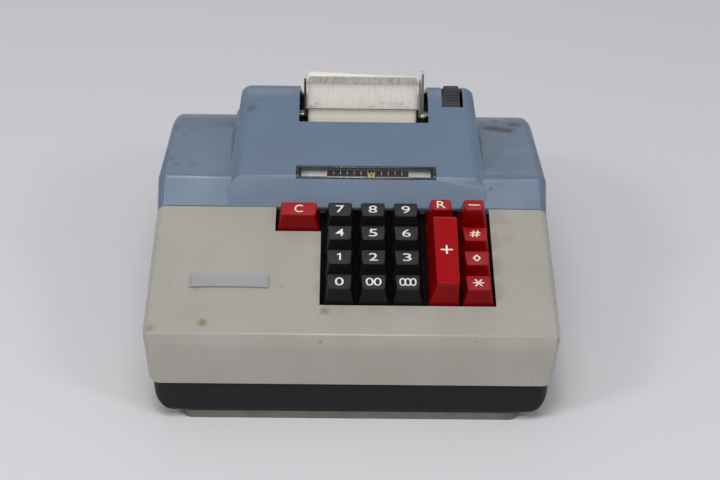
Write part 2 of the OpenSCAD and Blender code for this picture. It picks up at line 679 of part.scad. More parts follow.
// Side plates and the bars between them
plate_left = hump_x - hump_w / 2 + plate_in_left;
plate_right = hump_x + hump_w / 2 - plate_in_right;
rail_y = [118, 136];
cross_y = 180;
cross_z = 86;
cross_size = [8, 6];
roller_axis = [platen_y, platen_z - platen_r - 2 * paper_gap - paper_t - roller_r];
lever_axis = [platen_y - 11.5, platen_z + 5];
motor_axis = [main_y + gear_m * (gear_teeth + pinion_teeth) / 2, main_z];
plate_outline = [[112, pan_foot], [224, pan_foot], [224, 44], [200, 66], [186, 92], [176, 119], [158, 119],
    [144, 108], [112, 90]];
module side_plate(x) color(STEEL) difference() {
    translate([x, y_front, 0]) rotate([90, 0, 90]) linear_extrude(plate_t) polygon(plate_outline);
    at(platen_y, platen_z) shaft(shaft_r + run_fit, x - 1, x + plate_t + 1);
    at(main_y, main_z) shaft(main_r + run_fit, x - 1, x + plate_t + 1);
    at(type_y, type_z) shaft(type_shaft_r, x - 1, x + plate_t + 1);
    for (y = rail_y) at(y, rail_z) shaft(rail_r, x - 1, x + plate_t + 1);
}
module side_plate_left() side_plate(plate_left - plate_t);
module side_plate_right() side_plate(plate_right);
module printer_cross_bar() color(STEEL) at(cross_y - cross_size[0] / 2, cross_z - cross_size[1] / 2,
    plate_left)
    cube([plate_right - plate_left, cross_size[0], cross_size[1]]);
module carriage_rails() color("#c8c8c8") for (y = rail_y) at(y, rail_z)
    shaft(rail_r, plate_left - plate_t, plate_right + plate_t);
module type_shaft() color("#c8c8c8") at(type_y, type_z)
    shaft(type_shaft_r, plate_left - plate_t, plate_right + plate_t);

// Printer
bracket_t = 1.2;
// Middle of the paper and of the figures
print_x = bay_x - 0.9;
bar_half = paper_w / 2 + 1.2;
// The paper's line, from the front of the platen up
paper_r = platen_r + paper_gap + paper_t / 2;
lean = 90 - paper_lean;
paper_foot = [platen_y, platen_z] + paper_r * dir(180 - paper_lean);
tear_foot = paper_foot + inset([0, 0], lean, -(paper_t / 2 + 0.9 + tear_t)) + 7 * dir(lean);
tear_line = [tear_foot, tear_foot + tear_h * dir(lean)];
bracket_x = [print_x - bar_half - bracket_t, print_x + bar_half];
module tear_bar() color(CLEAR) translate([0, y_front, 0])
    across(bracket_x[0] + bracket_t, bracket_x[1]) polygon([tear_line[0], tear_line[1],
        inset(tear_line[1], lean, tear_t), inset(tear_line[0], lean, tear_t)]);
module bracket_side() difference() {
    polygon([[cross_y + 4, cross_z + 3], [cross_y - 4, cross_z + 3], [cross_y - 4, cross_z - 3],
        [platen_y - 8, cross_z - 3],
        [platen_y - 10, platen_z - 4], tear_foot - [2, 4], tear_line[1] + [-1.5, 1.5],
            tear_line[1] + [3.5, 1.5],
        tear_foot + [9, 4], [platen_y + 8, platen_z + 4], [platen_y + 10, platen_z - 6]]);
    translate([cross_y - cross_size[0] / 2, cross_z - cross_size[1] / 2]) square(cross_size);
}
module bracket(x) color(STEEL) difference() {
    translate([x, y_front, 0]) rotate([90, 0, 90]) linear_extrude(bracket_t) bracket_side();
    at(platen_y, platen_z) shaft(shaft_r + run_fit, x - 1, x + bracket_t + 1);
    at(roller_axis[0], roller_axis[1]) shaft(1.5 + run_fit, x - 1, x + bracket_t + 1);
}
// A tab under the ribbon, with the pin that leads the ribbon past the bracket
module ribbon_pin(x0, x1, pin_x) color(STEEL) at_print() {
    translate([x0, ribbon_y - 4, pin_foot]) cube([x1 - x0, 8, 1.2]);
    translate([pin_x, ribbon_y - pin_r - 0.5, pin_foot]) cylinder(r = pin_r, h = ribbon_w + 1.5);
}
module guide_bracket_left() {
    bracket(bracket_x[0]);
    ribbon_pin(pin_x[0] - 1.5, bracket_x[0] + 0.5, pin_x[0]);
}
module guide_bracket_right() {
    bracket(bracket_x[1]);
    ribbon_pin(bracket_x[1] + bracket_t - 0.5, pin_x[1] + 1.5, pin_x[1]);
    color(STEEL) at(lever_axis[0], lever_axis[1]) shaft(1.5, bracket_x[1] + 0.5,
        bracket_x[1] + bracket_t + 3);
}
module paper_release_lever() color("#c4c3bd") difference() {
    x = bracket_x[1] + bracket_t + 0.5;
    at(lever_axis[0], lever_axis[1]) {
        shaft(3.2, x, x + 1.4);
        translate([x, 0, 0]) rotate([90, 0, 90]) linear_extrude(1.4)
            polygon([[-1.8, 0], [1.8, 0], [8.3, 26.2], [7.6, 27], [6.2, 27], [5.2, 26.2]]);
    }
    at(lever_axis[0], lever_axis[1]) shaft(1.5 + run_fit, x - 1, x + 3);
}
platen_x = [bracket_x[0] + bracket_t + 0.6, bracket_x[1] - 0.6];
module platen() color(RUBBER) at(platen_y, platen_z) difference() {
    shaft(platen_r, platen_x[0], platen_x[1]);
    shaft(shaft_r, platen_x[0] - 1, platen_x[1] + 1);
}
module platen_shaft() color("#c8c8c8") at(platen_y, platen_z)
    shaft(shaft_r, plate_left - plate_t - 2, plate_right + plate_t + 1);
module platen_knob() color(CHARCOAL) at(platen_y, platen_z) difference() {
    rotate([90, 0, 90]) translate([0, 0, wheel_x - wheel_w / 2]) linear_extrude(wheel_w)
        polygon([for (i = [0:2 * wheel_ribs - 1], e = [-0.3, 0.3])
            (wheel_r - (i % 2) * 0.7) * dir((i + e) * 180 / wheel_ribs)]);
    shaft(shaft_r, 0, casing_w);
}
module pressure_roller() color(RUBBER) at(roller_axis[0], roller_axis[1]) {
    shaft(roller_r, platen_x[0], platen_x[1]);
    shaft(1.5, bracket_x[0] - 0.5, bracket_x[1] + bracket_t + 0.5);
}

// Paper
paper_x = [print_x - paper_w / 2, print_x + paper_w / 2];
strip_roll = roll_r + paper_gap + paper_t / 2;
function tangent_angle(d, a) = atan2(d[1], d[0]) - acos(a / norm(d));
off_roll = tangent_angle([platen_y - roll_y, platen_z - roll_z], paper_r + strip_roll);
curl_start = paper_foot + curl_up * dir(lean);
curl_c = inset(curl_start, lean, curl_r);
paper_path = concat(
    arc([roll_y, roll_z], strip_roll, off_roll - 30, off_roll, 6),
    arc([platen_y, platen_z], paper_r, off_roll + 180, 180 - paper_lean, 24),
    arc(curl_c, curl_r, 180 - paper_lean, 38, 14));
function path_normal(p, i) =
    let (a = p[max(0, i - 1)], b = p[min(len(p) - 1, i + 1)], d = (b - a) / norm(b - a)) [-d[1], d[0]];
function ribbon_of(p, t) = concat(
    [for (i = [0:len(p) - 1]) p[i] + path_normal(p, i) * t / 2],
    [for (i = [len(p) - 1:-1:0]) p[i] - path_normal(p, i) * t / 2]);
module paper_strip() color(PAPER) translate([0, y_front, 0])
    across(paper_x[0], paper_x[1]) polygon(ribbon_of(paper_path, paper_t));
module paper_roll() color(PAPER) at(roll_y, roll_z) difference() {
    shaft(roll_r, paper_x[0], paper_x[1]);
    shaft(spindle_r + 1.5, paper_x[0] - 1, paper_x[1] + 1);
}
arm_t = 1.5;
arm_x = [bracket_x[0] - 0.3 - arm_t, bracket_x[1] + bracket_t + 0.3];
module roll_spindle() color(CHARCOAL) at(roll_y, roll_z) {
    shaft(spindle_r + 1.5, paper_x[0] + 0.2, paper_x[1] - 0.2);
    shaft(spindle_r, arm_x[0] - 0.6, arm_x[1] + arm_t + 0.6);
}
module roll_arms() color(STEEL) for (x = arm_x) translate([x, y_front, 0]) rotate([90, 0, 90])
    linear_extrude(arm_t) difference() {
        polygon([[cross_y, cross_z - 8], [roll_y - 4, roll_z - 8], [roll_y + 8, roll_z - 8],
            [roll_y + 8, roll_z + 6],
            [roll_y - 8, roll_z + 6], [cross_y + 8, cross_z + 5], [cross_y, cross_z + 5]]);
        translate([cross_y - cross_size[0] / 2, cross_z - cross_size[1] / 2]) square(cross_size);
        translate([roll_y, roll_z]) circle(r = spindle_r + run_fit);
        translate([roll_y - spindle_r - run_fit, roll_z]) square([2 * (spindle_r + run_fit), 20]);
    }

// Carriage
carriage_x = print_x + 5.5;
module pin_carriage() color(BRASS) difference() {
    at(rail_y[0] - 8, rail_z - 6, carriage_x - carriage_w / 2)
        cube([carriage_w, rail_y[1] - rail_y[0] + 14, 13]);
    for (y = rail_y) at(y, rail_z) shaft(rail_r + run_fit, -casing_w, casing_w);
}
module indicator_pointer() color("#c9cf4e") {
    tip = inset(hump_crease, hump_slope, pointer_depth);
    across(carriage_x - 1.8, carriage_x + 1.8) polygon([tip + 1.5 * dir(hump_slope),
        tip + 5 * dir(hump_slope),
        inset(tip, hump_slope, 0.8) + 5 * dir(hump_slope), inset(tip, hump_slope, 0.8)
            + 1.5 * dir(hump_slope)]);
    across(carriage_x - 1, carriage_x + 1) polygon([tip + 1.4 * dir(hump_slope), tip + 2.2 * dir(hump_slope),
        inset(tip, hump_slope, 0.8) + 2.2 * dir(hump_slope), [tip[0] + 3, rail_z + 7], [tip[0] + 1.5,
            rail_z + 7]]);
}

// Type sectors
sector_r = norm([platen_y - type_y, platen_z - type_z]) - platen_r - paper_gap - paper_t - type_gap;
print_angle = atan2(platen_z - type_z, platen_y - type_y);
module type_sectors() color(BRASS) for (i = [0:type_count - 1])
    at(type_y, type_z, print_x + (i - (type_count - 1) / 2) * type_pitch - 0.7) difference() {
        rotate([90, 0, 90]) linear_extrude(1.4) {
            circle(r = 6);
            polygon(concat([[0, 0]], [for (j = [0:9], e = [0, 1, 2, 3])
                (sector_r - (e == 0 || e == 3 ? 1 : 0)) * dir(print_angle - 34 + 3.4 * j + [0.2, 0.7,
                    2.5, 3][e])]));
        }
        shaft(type_shaft_r + run_fit, -1, 3);
    }

// Drive
function involute(r, base) = let (a = acos(base / r)) tan(a) * 180 / PI - a;
function gear_outline(teeth) =
    let (pitch = gear_m * teeth / 2, base = pitch * cos(20), root = pitch - 1.25 * gear_m,
        tip = pitch + 0.95 * gear_m,
         from = max(base, root), half = 90 / teeth - gear_play / pitch * 45 / PI)
    [for (k = [0:teeth - 1]) let (mid = k * 360 / teeth)
        each concat([root * dir(mid - half - involute(pitch, base) + involute(from, base))],
            [for (j = [0:4]) let (r = from + (tip - from) * j / 4)
                r * dir(mid - half - involute(pitch, base) + involute(r, base))],
            [for (j = [4:-1:0]) let (r = from + (tip - from) * j / 4)
                r * dir(mid + half + involute(pitch, base) - involute(r, base))],
            [root * dir(mid + half + involute(pitch, base) - involute(from, base))])];
gear_x = plate_left - plate_t - 1 - gear_w;
module gear(teeth, bore, turn = 0) difference() {
    translate([gear_x, 0, 0]) rotate([90, 0, 90]) linear_extrude(gear_w) rotate(turn)
        polygon(gear_outline(teeth));
    if (bore > 0) shaft(bore, gear_x - 1, gear_x + gear_w + 1);
}
module main_gear() color(BRASS) at(main_y, main_z) gear(gear_teeth, main_r);
module main_shaft() color("#c8c8c8") at(main_y, main_z) shaft(main_r, gear_x - 1, plate_right + plate_t + 1);
cam_x = [plate_left + 15.5, hump_x + 7, plate_right - 16];
module drive_cams() color(STEEL) at(main_y, main_z) for (x = cam_x) difference() {
    union() {
        shaft(8, x, x + 4);
        translate([x, 0, 0]) rotate([90, 0, 90]) linear_extrude(4)
            polygon([for (a = [0:10:350]) (11 + 4 * cos(a + x)) * dir(a)]);
    }
    shaft(main_r, x - 1, x + 5);
}
motor_x = motor_room - foot_half + pan_inset + pan_t;
motor_len = gear_x - 4 - motor_x;
rotor_r = 3;
module motor() color("#4a4d50") at(motor_axis[0], motor_axis[1]) difference() {
    union() {
        shaft(motor_r, motor_x, motor_x + motor_len);
        // The foot stands clear of the pan's rounded side
        translate([motor_x + pan_side_r - pan_t, -motor_r, pan_foot - motor_axis[1]])
            cube([motor_len - pan_side_r + pan_t - 4, 2 * motor_r, motor_r - 6]);
    }
    shaft(rotor_r + run_fit, motor_x - 1, gear_x);
}
module motor_rotor() color(BRASS) at(motor_axis[0], motor_axis[1]) {
    shaft(rotor_r, motor_x - 0.5, gear_x + 1);
    gear(pinion_teeth, 0, 180 + 180 / pinion_teeth);
}

// Ribbon, in the frame of the print line: Y from the type shaft to the platen
module at_print() at(platen_y, platen_z) rotate([print_angle, 0, 0]) children();
ribbon_t = 0.2;
ribbon_y = -platen_r - paper_gap - paper_t - type_gap / 2;
pin_r = 1;
pin_foot = -ribbon_w / 2 - 1.7;
pin_x = [bracket_x[0] - 2.8, bracket_x[1] + bracket_t + 2.8];
spool_x = [plate_left + 13, plate_right - 13];
spool_y = -wheel_r - 0.7 - spool_r;
spool_t = 1;
shelf_t = 1.5;
module ribbon_shelves() color(STEEL) at_print() for (i = [0, 1]) {
    low = -ribbon_w / 2 - spool_t - 0.7;
    translate([i == 0 ? plate_left : spool_x[1] - 5, spool_y - 7, low - shelf_t])
        cube([i == 0 ? spool_x[0] + 5 - plate_left : plate_right - spool_x[1] + 5, 14, shelf_t]);
    translate([spool_x[i], spool_y, low - 0.5]) cylinder(r = 2, h = ribbon_w + 2 * spool_t + 2.5);
}
module ribbon_spool(x) color("#5a2b2f") at_print() translate([x, spool_y, 0]) difference() {
    union() {
        for (z = [-ribbon_w / 2 - spool_t, ribbon_w / 2]) translate([0, 0, z]) cylinder(r = spool_r,
            h = spool_t);
        translate([0, 0, -ribbon_w / 2 - spool_t]) cylinder(r = pack_r, h = ribbon_w + 2 * spool_t);
    }
    cylinder(r = 2 + run_fit, h = 40, center = true);
}
module ribbon_spool_left() ribbon_spool(spool_x[0]);
module ribbon_spool_right() ribbon_spool(spool_x[1]);
// The ribbon leaves each spool beside its winding and bends round the pins
function off_spool(i) = let (side = i == 0 ? 1 : -1, a = 90 - side * 25, gap = pack_r + 0.4)
    [spool_x[i], spool_y] + gap * dir(a);
module ink_ribbon() color("#2a2230") at_print() {
    path = [off_spool(0), [pin_x[0], ribbon_y], [pin_x[1], ribbon_y], off_spool(1)];
    translate([0, 0, 0.3 - ribbon_w / 2]) linear_extrude(ribbon_w - 0.6)
        polygon(concat([for (p = path) p + [0, ribbon_t / 2]], [for (i = [3:-1:0]) path[i] - [0,
            ribbon_t / 2]]));
}

base_pan();
base_pad();
front_cover();
rear_cover();
cover_screws();
badge_plate();
window_lens();
indicator_scale();
power_inlet();
for (k = KEYS) key(k);
key_guide_plates();
keyboard_posts();
key_springs();
side_plate_left();
side_plate_right();
printer_cross_bar();
guide_bracket_left();
guide_bracket_right();
tear_bar();
paper_release_lever();
platen();
platen_shaft();
platen_knob();
pressure_roller();
paper_strip();
paper_roll();
roll_spindle();
roll_arms();
pin_carriage();
indicator_pointer();
carriage_rails();
type_sectors();
type_shaft();
main_shaft();
main_gear();
drive_cams();
motor();
motor_rotor();
ribbon_shelves();
ribbon_spool_left();
ribbon_spool_right();
ink_ribbon();
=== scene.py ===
# %% [markdown]
# # A printing calculator, dressed
# The solids of an electric ten-key printing calculator come in from CAD at their real size. This lesson gives them
# their finish: two moulded covers, dished key caps with white figures, a ribbed thumbwheel, a scale behind a clear
# window, wound springs, and paper that curls over a clear tear bar.
# The machine keeps its CAD frame: X runs to the right, Y to the back, Z up, and the origin is on the table.

# %% Load the solids
import json
import math
import bmesh
import bpy
from mathutils import Matrix, Vector


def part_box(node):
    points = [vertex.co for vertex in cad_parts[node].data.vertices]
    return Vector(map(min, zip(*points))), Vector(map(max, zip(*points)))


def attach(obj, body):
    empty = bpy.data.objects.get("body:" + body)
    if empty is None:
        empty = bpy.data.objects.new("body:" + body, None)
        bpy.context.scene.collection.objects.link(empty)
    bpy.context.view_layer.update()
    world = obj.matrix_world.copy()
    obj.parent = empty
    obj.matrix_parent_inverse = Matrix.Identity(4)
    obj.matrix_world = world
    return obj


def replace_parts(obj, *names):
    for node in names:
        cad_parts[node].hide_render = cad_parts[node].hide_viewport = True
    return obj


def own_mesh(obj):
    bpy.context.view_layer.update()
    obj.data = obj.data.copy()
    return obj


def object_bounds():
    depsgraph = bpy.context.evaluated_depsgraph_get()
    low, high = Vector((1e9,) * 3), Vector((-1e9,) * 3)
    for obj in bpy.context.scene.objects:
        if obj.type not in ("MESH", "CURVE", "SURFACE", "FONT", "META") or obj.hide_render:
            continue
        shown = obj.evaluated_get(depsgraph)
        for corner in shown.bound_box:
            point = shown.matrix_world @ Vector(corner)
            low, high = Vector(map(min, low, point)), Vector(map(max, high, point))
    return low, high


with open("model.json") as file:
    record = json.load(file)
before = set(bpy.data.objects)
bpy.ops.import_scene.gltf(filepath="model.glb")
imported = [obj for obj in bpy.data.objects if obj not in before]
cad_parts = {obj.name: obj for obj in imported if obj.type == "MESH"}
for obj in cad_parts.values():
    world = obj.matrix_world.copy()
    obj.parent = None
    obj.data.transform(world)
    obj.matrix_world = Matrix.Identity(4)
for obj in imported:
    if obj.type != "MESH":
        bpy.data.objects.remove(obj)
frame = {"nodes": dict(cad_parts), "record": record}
cad_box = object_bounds()
BODY_OF = {node: body for body, nodes in frame["record"]["behaviour"]["bodies"].items() for node in nodes}
MM = 0.001
print("CAD box in mm:", [[round(v / MM, 1) for v in corner] for corner in cad_box])

# %% [markdown]
# ## The camera
# The photograph was taken with a long lens from the front and above. Its focal length is 1600 pixels on a picture
# 720 pixels wide, which is 80 mm on a 36 mm sensor. The camera looks down by 30.3 degrees and a touch to the right,
# and is rolled by one degree. Building its axes from three plain vectors keeps those angles readable. Its place is
# given from the casing's front face, which the whole scene measures its depths from.

# %% Camera
def turned(vector, degrees, axis):
    return Matrix.Rotation(math.radians(degrees), 3, axis) @ vector

FRONT = cad_box[0].y / MM
LOOK_DOWN, TURN_LEFT, TWIST = 30.30, -0.832, math.radians(1.022)
forward = turned(turned(Vector((0, 1, 0)), -LOOK_DOWN, "X"), TURN_LEFT, "Z")
right = turned(Vector((1, 0, 0)), TURN_LEFT, "Z")
up = right.cross(forward)
right, up = right * math.cos(TWIST) + up * math.sin(TWIST), up * math.cos(TWIST) - right * math.sin(TWIST)
lens = bpy.data.cameras.new("photo_lens")
lens.lens, lens.sensor_width, lens.clip_start, lens.clip_end = 80, 36, 0.05, 20
camera = bpy.data.objects.new("photo_camera", lens)
camera.matrix_world = Matrix((right, up, -forward)).transposed().to_4x4()
camera.location = Vector((-7.08, FRONT - 722.41, 540.67)) * MM
bpy.context.collection.objects.link(camera)
bpy.context.scene.camera = camera
print("camera looks along", [round(v, 3) for v in forward])

# %% [markdown]
# ## Colour and nodes
# Colours are written as the sRGB hex values that a paint chart shows, and one function turns them to the linear
# numbers that a renderer works in. One more function adds a node to a tree, sets its fields and makes its links. A
# node given as an input stands for its first output.
# The materials below keep asking for the same few things, so each of these has a name: noise of a given grain, one
# range mapped to another, a blend of two colours, a relief, a stretch of space, and links into the shader. Grains
# and depths are in millimetres. Each material then reads as a short list.

# %% Helpers for materials
def linear(code):
    parts = [int(code[i:i + 2], 16) / 255 for i in (1, 3, 5)]
    return tuple(c / 12.92 if c <= 0.04045 else ((c + 0.055) / 1.055) ** 2.4 for c in parts) + (1.0,)

def add(tree, kind, inputs=None, **fields):
    node = tree.nodes.new(kind)
    for field, value in fields.items():
        setattr(node, field, value)
    for socket, value in (inputs or {}).items():
        if isinstance(value, bpy.types.Node):
            value = value.outputs[0]
        if isinstance(value, bpy.types.NodeSocket):
            tree.links.new(value, node.inputs[socket])
        else:
            node.inputs[socket].default_value = value
    return node

def noise(tree, place, grain, detail):
    return add(tree, "ShaderNodeTexNoise",
               {"Vector": place, "Scale": 1 / (grain * MM), "Detail": detail}).outputs["Fac"]

def remap(tree, value, low, high, start=0.0, end=1.0):
    return add(tree, "ShaderNodeMapRange",
               {"Value": value, "From Min": low, "From Max": high, "To Min": start, "To Max": end}).outputs[0]

def blend(tree, share, tone, shade):
    tone, shade = [linear(colour) if isinstance(colour, str) else colour for colour in (tone, shade)]
    return add(tree, "ShaderNodeMix", {0: share, 6: tone, 7: shade}, data_type="RGBA").outputs[2]

def relief(tree, height, strength, depth):
    return add(tree, "ShaderNodeBump", {"Height": height, "Strength": strength, "Distance": depth * MM}).outputs[0]

def stretched(tree, place, stretch):
    return add(tree, "ShaderNodeMapping", {"Vector": place, "Scale": stretch}).outputs[0]

def new_material(name, **shader):
    material = bpy.data.materials.new(name)
    material.use_nodes = True
    tree = material.node_tree
    surface = tree.nodes["Principled BSDF"]
    for socket, value in shader.items():
        surface.inputs[socket.replace("_", " ")].default_value = value
    place = tree.nodes.new("ShaderNodeTexCoord").outputs["Object"]
    return material, tree, surface, place

def feed(tree, surface, **sources):
    for socket, source in sources.items():
        tree.links.new(source, surface.inputs[socket.replace("_", " ")])

# %% [markdown]
# ## Moulded covers
# The covers are injection-moulded thermoplastic. The mould was spark-eroded, which leaves a fine matt grain of about
# half a millimetre. Sixty years of hands and dust add a slow mottle and a few brown stains.
# The grain is a bump from fine noise. The mottle is a broad noise that mixes two near tones. Stains are soft spots:
# each is a distance from a point on the cover, ragged by noise, and tinted by how strong it is. All of it is solid
# noise in object space, so it runs on round the edges with no seams. The keys also carry a painted shade: their
# steep sides are blended towards near black, and the tone falls with the slope of the surface.

# %% Moulded plastic
FRINGE, CORE = 1.45, 0.6    # where a stain fades out, and where it is at full strength, in its own radii
STEEP, LEVEL = 0.6, 0.85    # how far a surface faces up where the painted shade is full, and where it ends

def moulded(name, tone, shade, rough=0.5, grain=0.5, depth=0.05, mottle=35.0, stains=(), stain_tone=None,
            sheen=0.5, steep_shade=0.0):
    material, tree, surface, place = new_material(name, IOR=1.5, Specular_IOR_Level=sheen)
    broad = noise(tree, place, mottle, 4.0)
    colour = blend(tree, remap(tree, broad, 0.35, 0.68), tone, shade)
    ragged = noise(tree, place, 4, 3.0) if stains else None
    for x, y, z, radius, strength in stains:
        away = add(tree, "ShaderNodeVectorMath", {0: place, 1: (x * MM, y * MM, z * MM)}, operation="DISTANCE")
        torn = add(tree, "ShaderNodeMath", {0: ragged, 1: radius * MM, 2: away.outputs["Value"]},
                   operation="MULTIPLY_ADD")
        spot = remap(tree, torn, radius * MM * FRINGE, radius * MM * CORE, 0.0, strength)
        colour = blend(tree, spot, colour, stain_tone)
    # painted shade: the steeper the surface, the more its colour is blended towards near black
    if steep_shade:
        facing = add(tree, "ShaderNodeSeparateXYZ", {0: add(tree, "ShaderNodeNewGeometry").outputs["Normal"]})
        colour = blend(tree, remap(tree, facing.outputs["Z"], STEEP, LEVEL, steep_shade, 0.0), colour, "#080606")
    feed(tree, surface, Base_Color=colour, Roughness=remap(tree, broad, 0.3, 0.7, rough - 0.06, rough + 0.08),
         Normal=relief(tree, noise(tree, place, grain, 2.0), 0.35, depth))
    return material

BLUE = moulded("Moulded_plastic_blue_grey", "#65778d", "#5e6f83", rough=0.29, stain_tone="#3d3820", stains=[
    (86, 52, 93.0, 5.5, 0.85), (90, 49.5, 93.2, 7.0, 0.9), (96, 48, 93.3, 7.0, 0.9), (99, 46, 93.4, 5.0, 0.8),
    (102, 58, 92.4, 7.0, 0.95), (91, 67, 90.8, 5.0, 0.75), (103, 74, 88.8, 4.5, 0.75), (88.7, -17, 98, 8.0, 0.14),
    (88, -28, 95, 7.0, 0.14), (81.1, -31.5, 93.4, 1.6, 0.95), (-109.8, 45.7, 93.4, 2.2, 0.6),
    (-109.4, 50, 93.0, 1.8, 0.5), (-104, 35, 94.3, 2.0, 0.6), (-102, 38, 94.2, 1.8, 0.55), (-105, 30, 94.5, 1.8, 0.5),
    (-108.5, -5, 97.6, 3.6, 0.5), (-105, -13, 98.0, 3.4, 0.5), (-95, -13, 98.2, 5.0, 0.35),
    (-60.8, 12.8, 122.9, 4.0, 0.5)])
BEIGE = moulded("Moulded_plastic_warm_grey", "#a8a59c", "#a19e94", rough=0.3, stain_tone="#7d6238", stains=[
    (-81.8, -126.7, 59.9, 4.0, 0.75), (-14.9, -117.4, 62.5, 4.2, 0.75), (-110.4, -130.4, 58.7, 4.0, 0.6),
    (112.9, -132.9, 55.1, 2.2, 0.7), (112.8, -108, 63.4, 1.8, 0.45), (-17.3, -134.9, 53.6, 1.2, 0.75),
    (-81.1, -135.5, 46.8, 0.9, 0.6), (67, -134.5, 55, 1.1, 0.7), (-86.3, -102.6, 66.6, 2.6, 0.3),
    (-39.7, -100.5, 67.1, 1.6, 0.35), (-101.7, -98, 67.7, 1.2, 0.3), (-97, -87, 70.8, 0.6, 0.6),
    (88.8, -49, 81.3, 5.0, 0.18), (90, -62, 78, 5.0, 0.15), (-45, -133, 57.5, 1.0, 0.5)])
BLACK = moulded("Moulded_phenolic_black", "#1c1b1d", "#232224", rough=0.42, grain=0.3)
# the keys' steep sides get a painted shade through steep_shade
KEY_DARK = moulded("Moulded_key_plastic_charcoal", "#232125", "#1e1c20", rough=0.24, grain=0.25, depth=0.012,
                   sheen=0.2, steep_shade=0.32)
KEY_RED = moulded("Moulded_key_plastic_red", "#a0030b", "#95030a", rough=0.23, grain=0.25, depth=0.012,
                  sheen=0.2, steep_shade=0.32)
WHEEL = moulded("Moulded_wheel_plastic_grey", "#322f37", "#2a282f", rough=0.45, grain=0.3)
SPOOL = moulded("Moulded_spool_plastic_oxblood", "#55292c", "#4a2427", rough=0.4)
LEGEND = moulded("Moulded_legend_plastic_white", "#ece9e0", "#e2dfd6", rough=0.4, grain=0.25, depth=0.01)
print("moulded plastics:", len(bpy.data.materials))

# %% [markdown]
# ## Enamel, rubber and metal
# The base pan is pressed steel under a charcoal stove enamel, which flows a little and keeps an orange-peel of about
# two millimetres. Rubber is duller and has a dusty bloom. Bare metals keep the default IOR, and what tells one from
# another is the colour, the grain direction and how rough the surface is: rolled zinc-plated sheet, ground shafts,
# machined brass.

# %% Enamel, rubber and metal
def enamel(name, tone, rough, peel=2.0, veil=0.25, sheen=0.5):
    material, tree, surface, place = new_material(name, IOR=1.5, Roughness=rough, Specular_IOR_Level=sheen)
    bloom = remap(tree, noise(tree, place, 18, 5.0), 0.45, 0.8, 0.0, veil)
    feed(tree, surface, Base_Color=blend(tree, bloom, tone, "#6c6a68"),
         Normal=relief(tree, noise(tree, place, peel, 1.0), 0.2, 0.06))
    return material

def metal(name, tone, shade, rough, stretch=(1, 1, 1), streak=0.4):
    material, tree, surface, place = new_material(name, Metallic=1.0)
    lines = noise(tree, stretched(tree, place, stretch), streak, 3.0)
    feed(tree, surface, Base_Color=blend(tree, lines, tone, shade), Normal=relief(tree, lines, 0.3, 0.01),
         Roughness=remap(tree, lines, 0.0, 1.0, rough - 0.08, rough + 0.1))
    return material

ENAMEL = enamel("Stove_enamel_charcoal", "#1a191b", 0.45, veil=0.04, sheen=0.25)
# painted shade: the plates and posts in the wells under the keys are near black and dull, for the shade between the
# keys
WELL_SHADE = enamel("Near_black_steel_painted_shade", "#0a090b", 0.7, peel=1.0, veil=0.03, sheen=0.1)
MOTOR = enamel("Hammer_enamel_grey", "#4b4e51", 0.4, peel=1.5)
POINTER = enamel("Pointer_enamel_yellow_green", "#c3c850", 0.45)
RUBBER = moulded("Ground_rubber_black", "#232324", "#2c2b2c", rough=0.72, grain=0.4, depth=0.06)
PAD = moulded("Moulded_rubber_drab", "#77726a", "#6b665f", rough=0.85, grain=0.8, depth=0.12, mottle=12)
ZINC = metal("Zinc_plated_sheet_steel", "#b3b4b1", "#8f908f", 0.38, stretch=(1, 0.2, 1), streak=1.2)
GROUND = metal("Ground_steel_bar", "#9b9b99", "#7e7e7d", 0.34, stretch=(12, 1, 1), streak=0.8)
WIRE = metal("Drawn_spring_wire", "#b0b0ae", "#8c8c8b", 0.3)
GRIMY = metal("Zinc_plated_sheet_grimy", "#5c554b", "#332f2a", 0.62, streak=2.5)
WORN = metal("Nickel_plated_sheet_worn", "#b3b0a6", "#857f72", 0.42, streak=1.5)
BRASS = metal("Machined_brass", "#bf9f58", "#a5863f", 0.3, stretch=(10, 1, 1), streak=0.9)
BADGE = metal("Brushed_anodised_aluminium", "#c9c9cb", "#b2b2b6", 0.5, stretch=(0.06, 1, 1), streak=0.35)
SATIN = enamel("Silver_lacquered_strip", "#c4c5c8", 0.45, peel=0.6, veil=0.3)
print("materials so far:", len(bpy.data.materials))

# %% [markdown]
# ## Paper, acrylic and cloth
# Paper is rough, with a cloudy formation at about three millimetres. The ends of the roll show its windings as rings.
# Real ones are 0.07 mm apart, and these are 1.6 mm apart, so that they show. The tear bar and window are thin clear
# acrylic of IOR 1.49. A sheet this thin barely bends what is behind it, so it is drawn as a veil: a low alpha lets
# light and sight straight through, and the veil's own tone is the haze of fine wear. The bent lip of the tear bar,
# where the eye looks along the sheet, has a darker and denser grey veil: painted shade for the background seen bent
# through it. The inked ribbon is woven of threads finer than a pixel, so its weave is drawn at about a millimetre.
# Dried ink and dust are as dull as an old moulding, so its recipe serves.

# %% Paper, acrylic, cloth
PAPER, tree, surface, place = new_material("Uncoated_paper_cream", Roughness=0.85, IOR=1.45)
clouds = noise(tree, place, 3, 5.0)
feed(tree, surface, Base_Color=blend(tree, clouds, "#efeadd", "#e6dfcf"), Normal=relief(tree, clouds, 0.25, 0.03))

# The axes of the platen and of the roll, each as a depth behind the front face and a height
PLATEN, ROLL = Vector((166, 110)), Vector((226, 76))
# A wave texture turns through 20 radians a unit in its rings and 10 in its diagonal bands, at a scale of one
RINGS, DIAGONAL, WAVE = math.tau / 20, math.tau / 10, 1.579 * MM
ROLLED, tree, surface, place = new_material("Wound_paper_cream", Roughness=0.88, IOR=1.45)
centred = add(tree, "ShaderNodeMapping", {"Vector": place, "Location": (0, -(FRONT + ROLL.x) * MM, -ROLL.y * MM)})
rings = add(tree, "ShaderNodeTexWave", {"Vector": centred, "Scale": RINGS / WAVE, "Distortion": 0.6},
            wave_type="RINGS", rings_direction="X")
feed(tree, surface, Base_Color=blend(tree, rings.outputs["Fac"], "#f0ebdd", "#e0d8c5"))

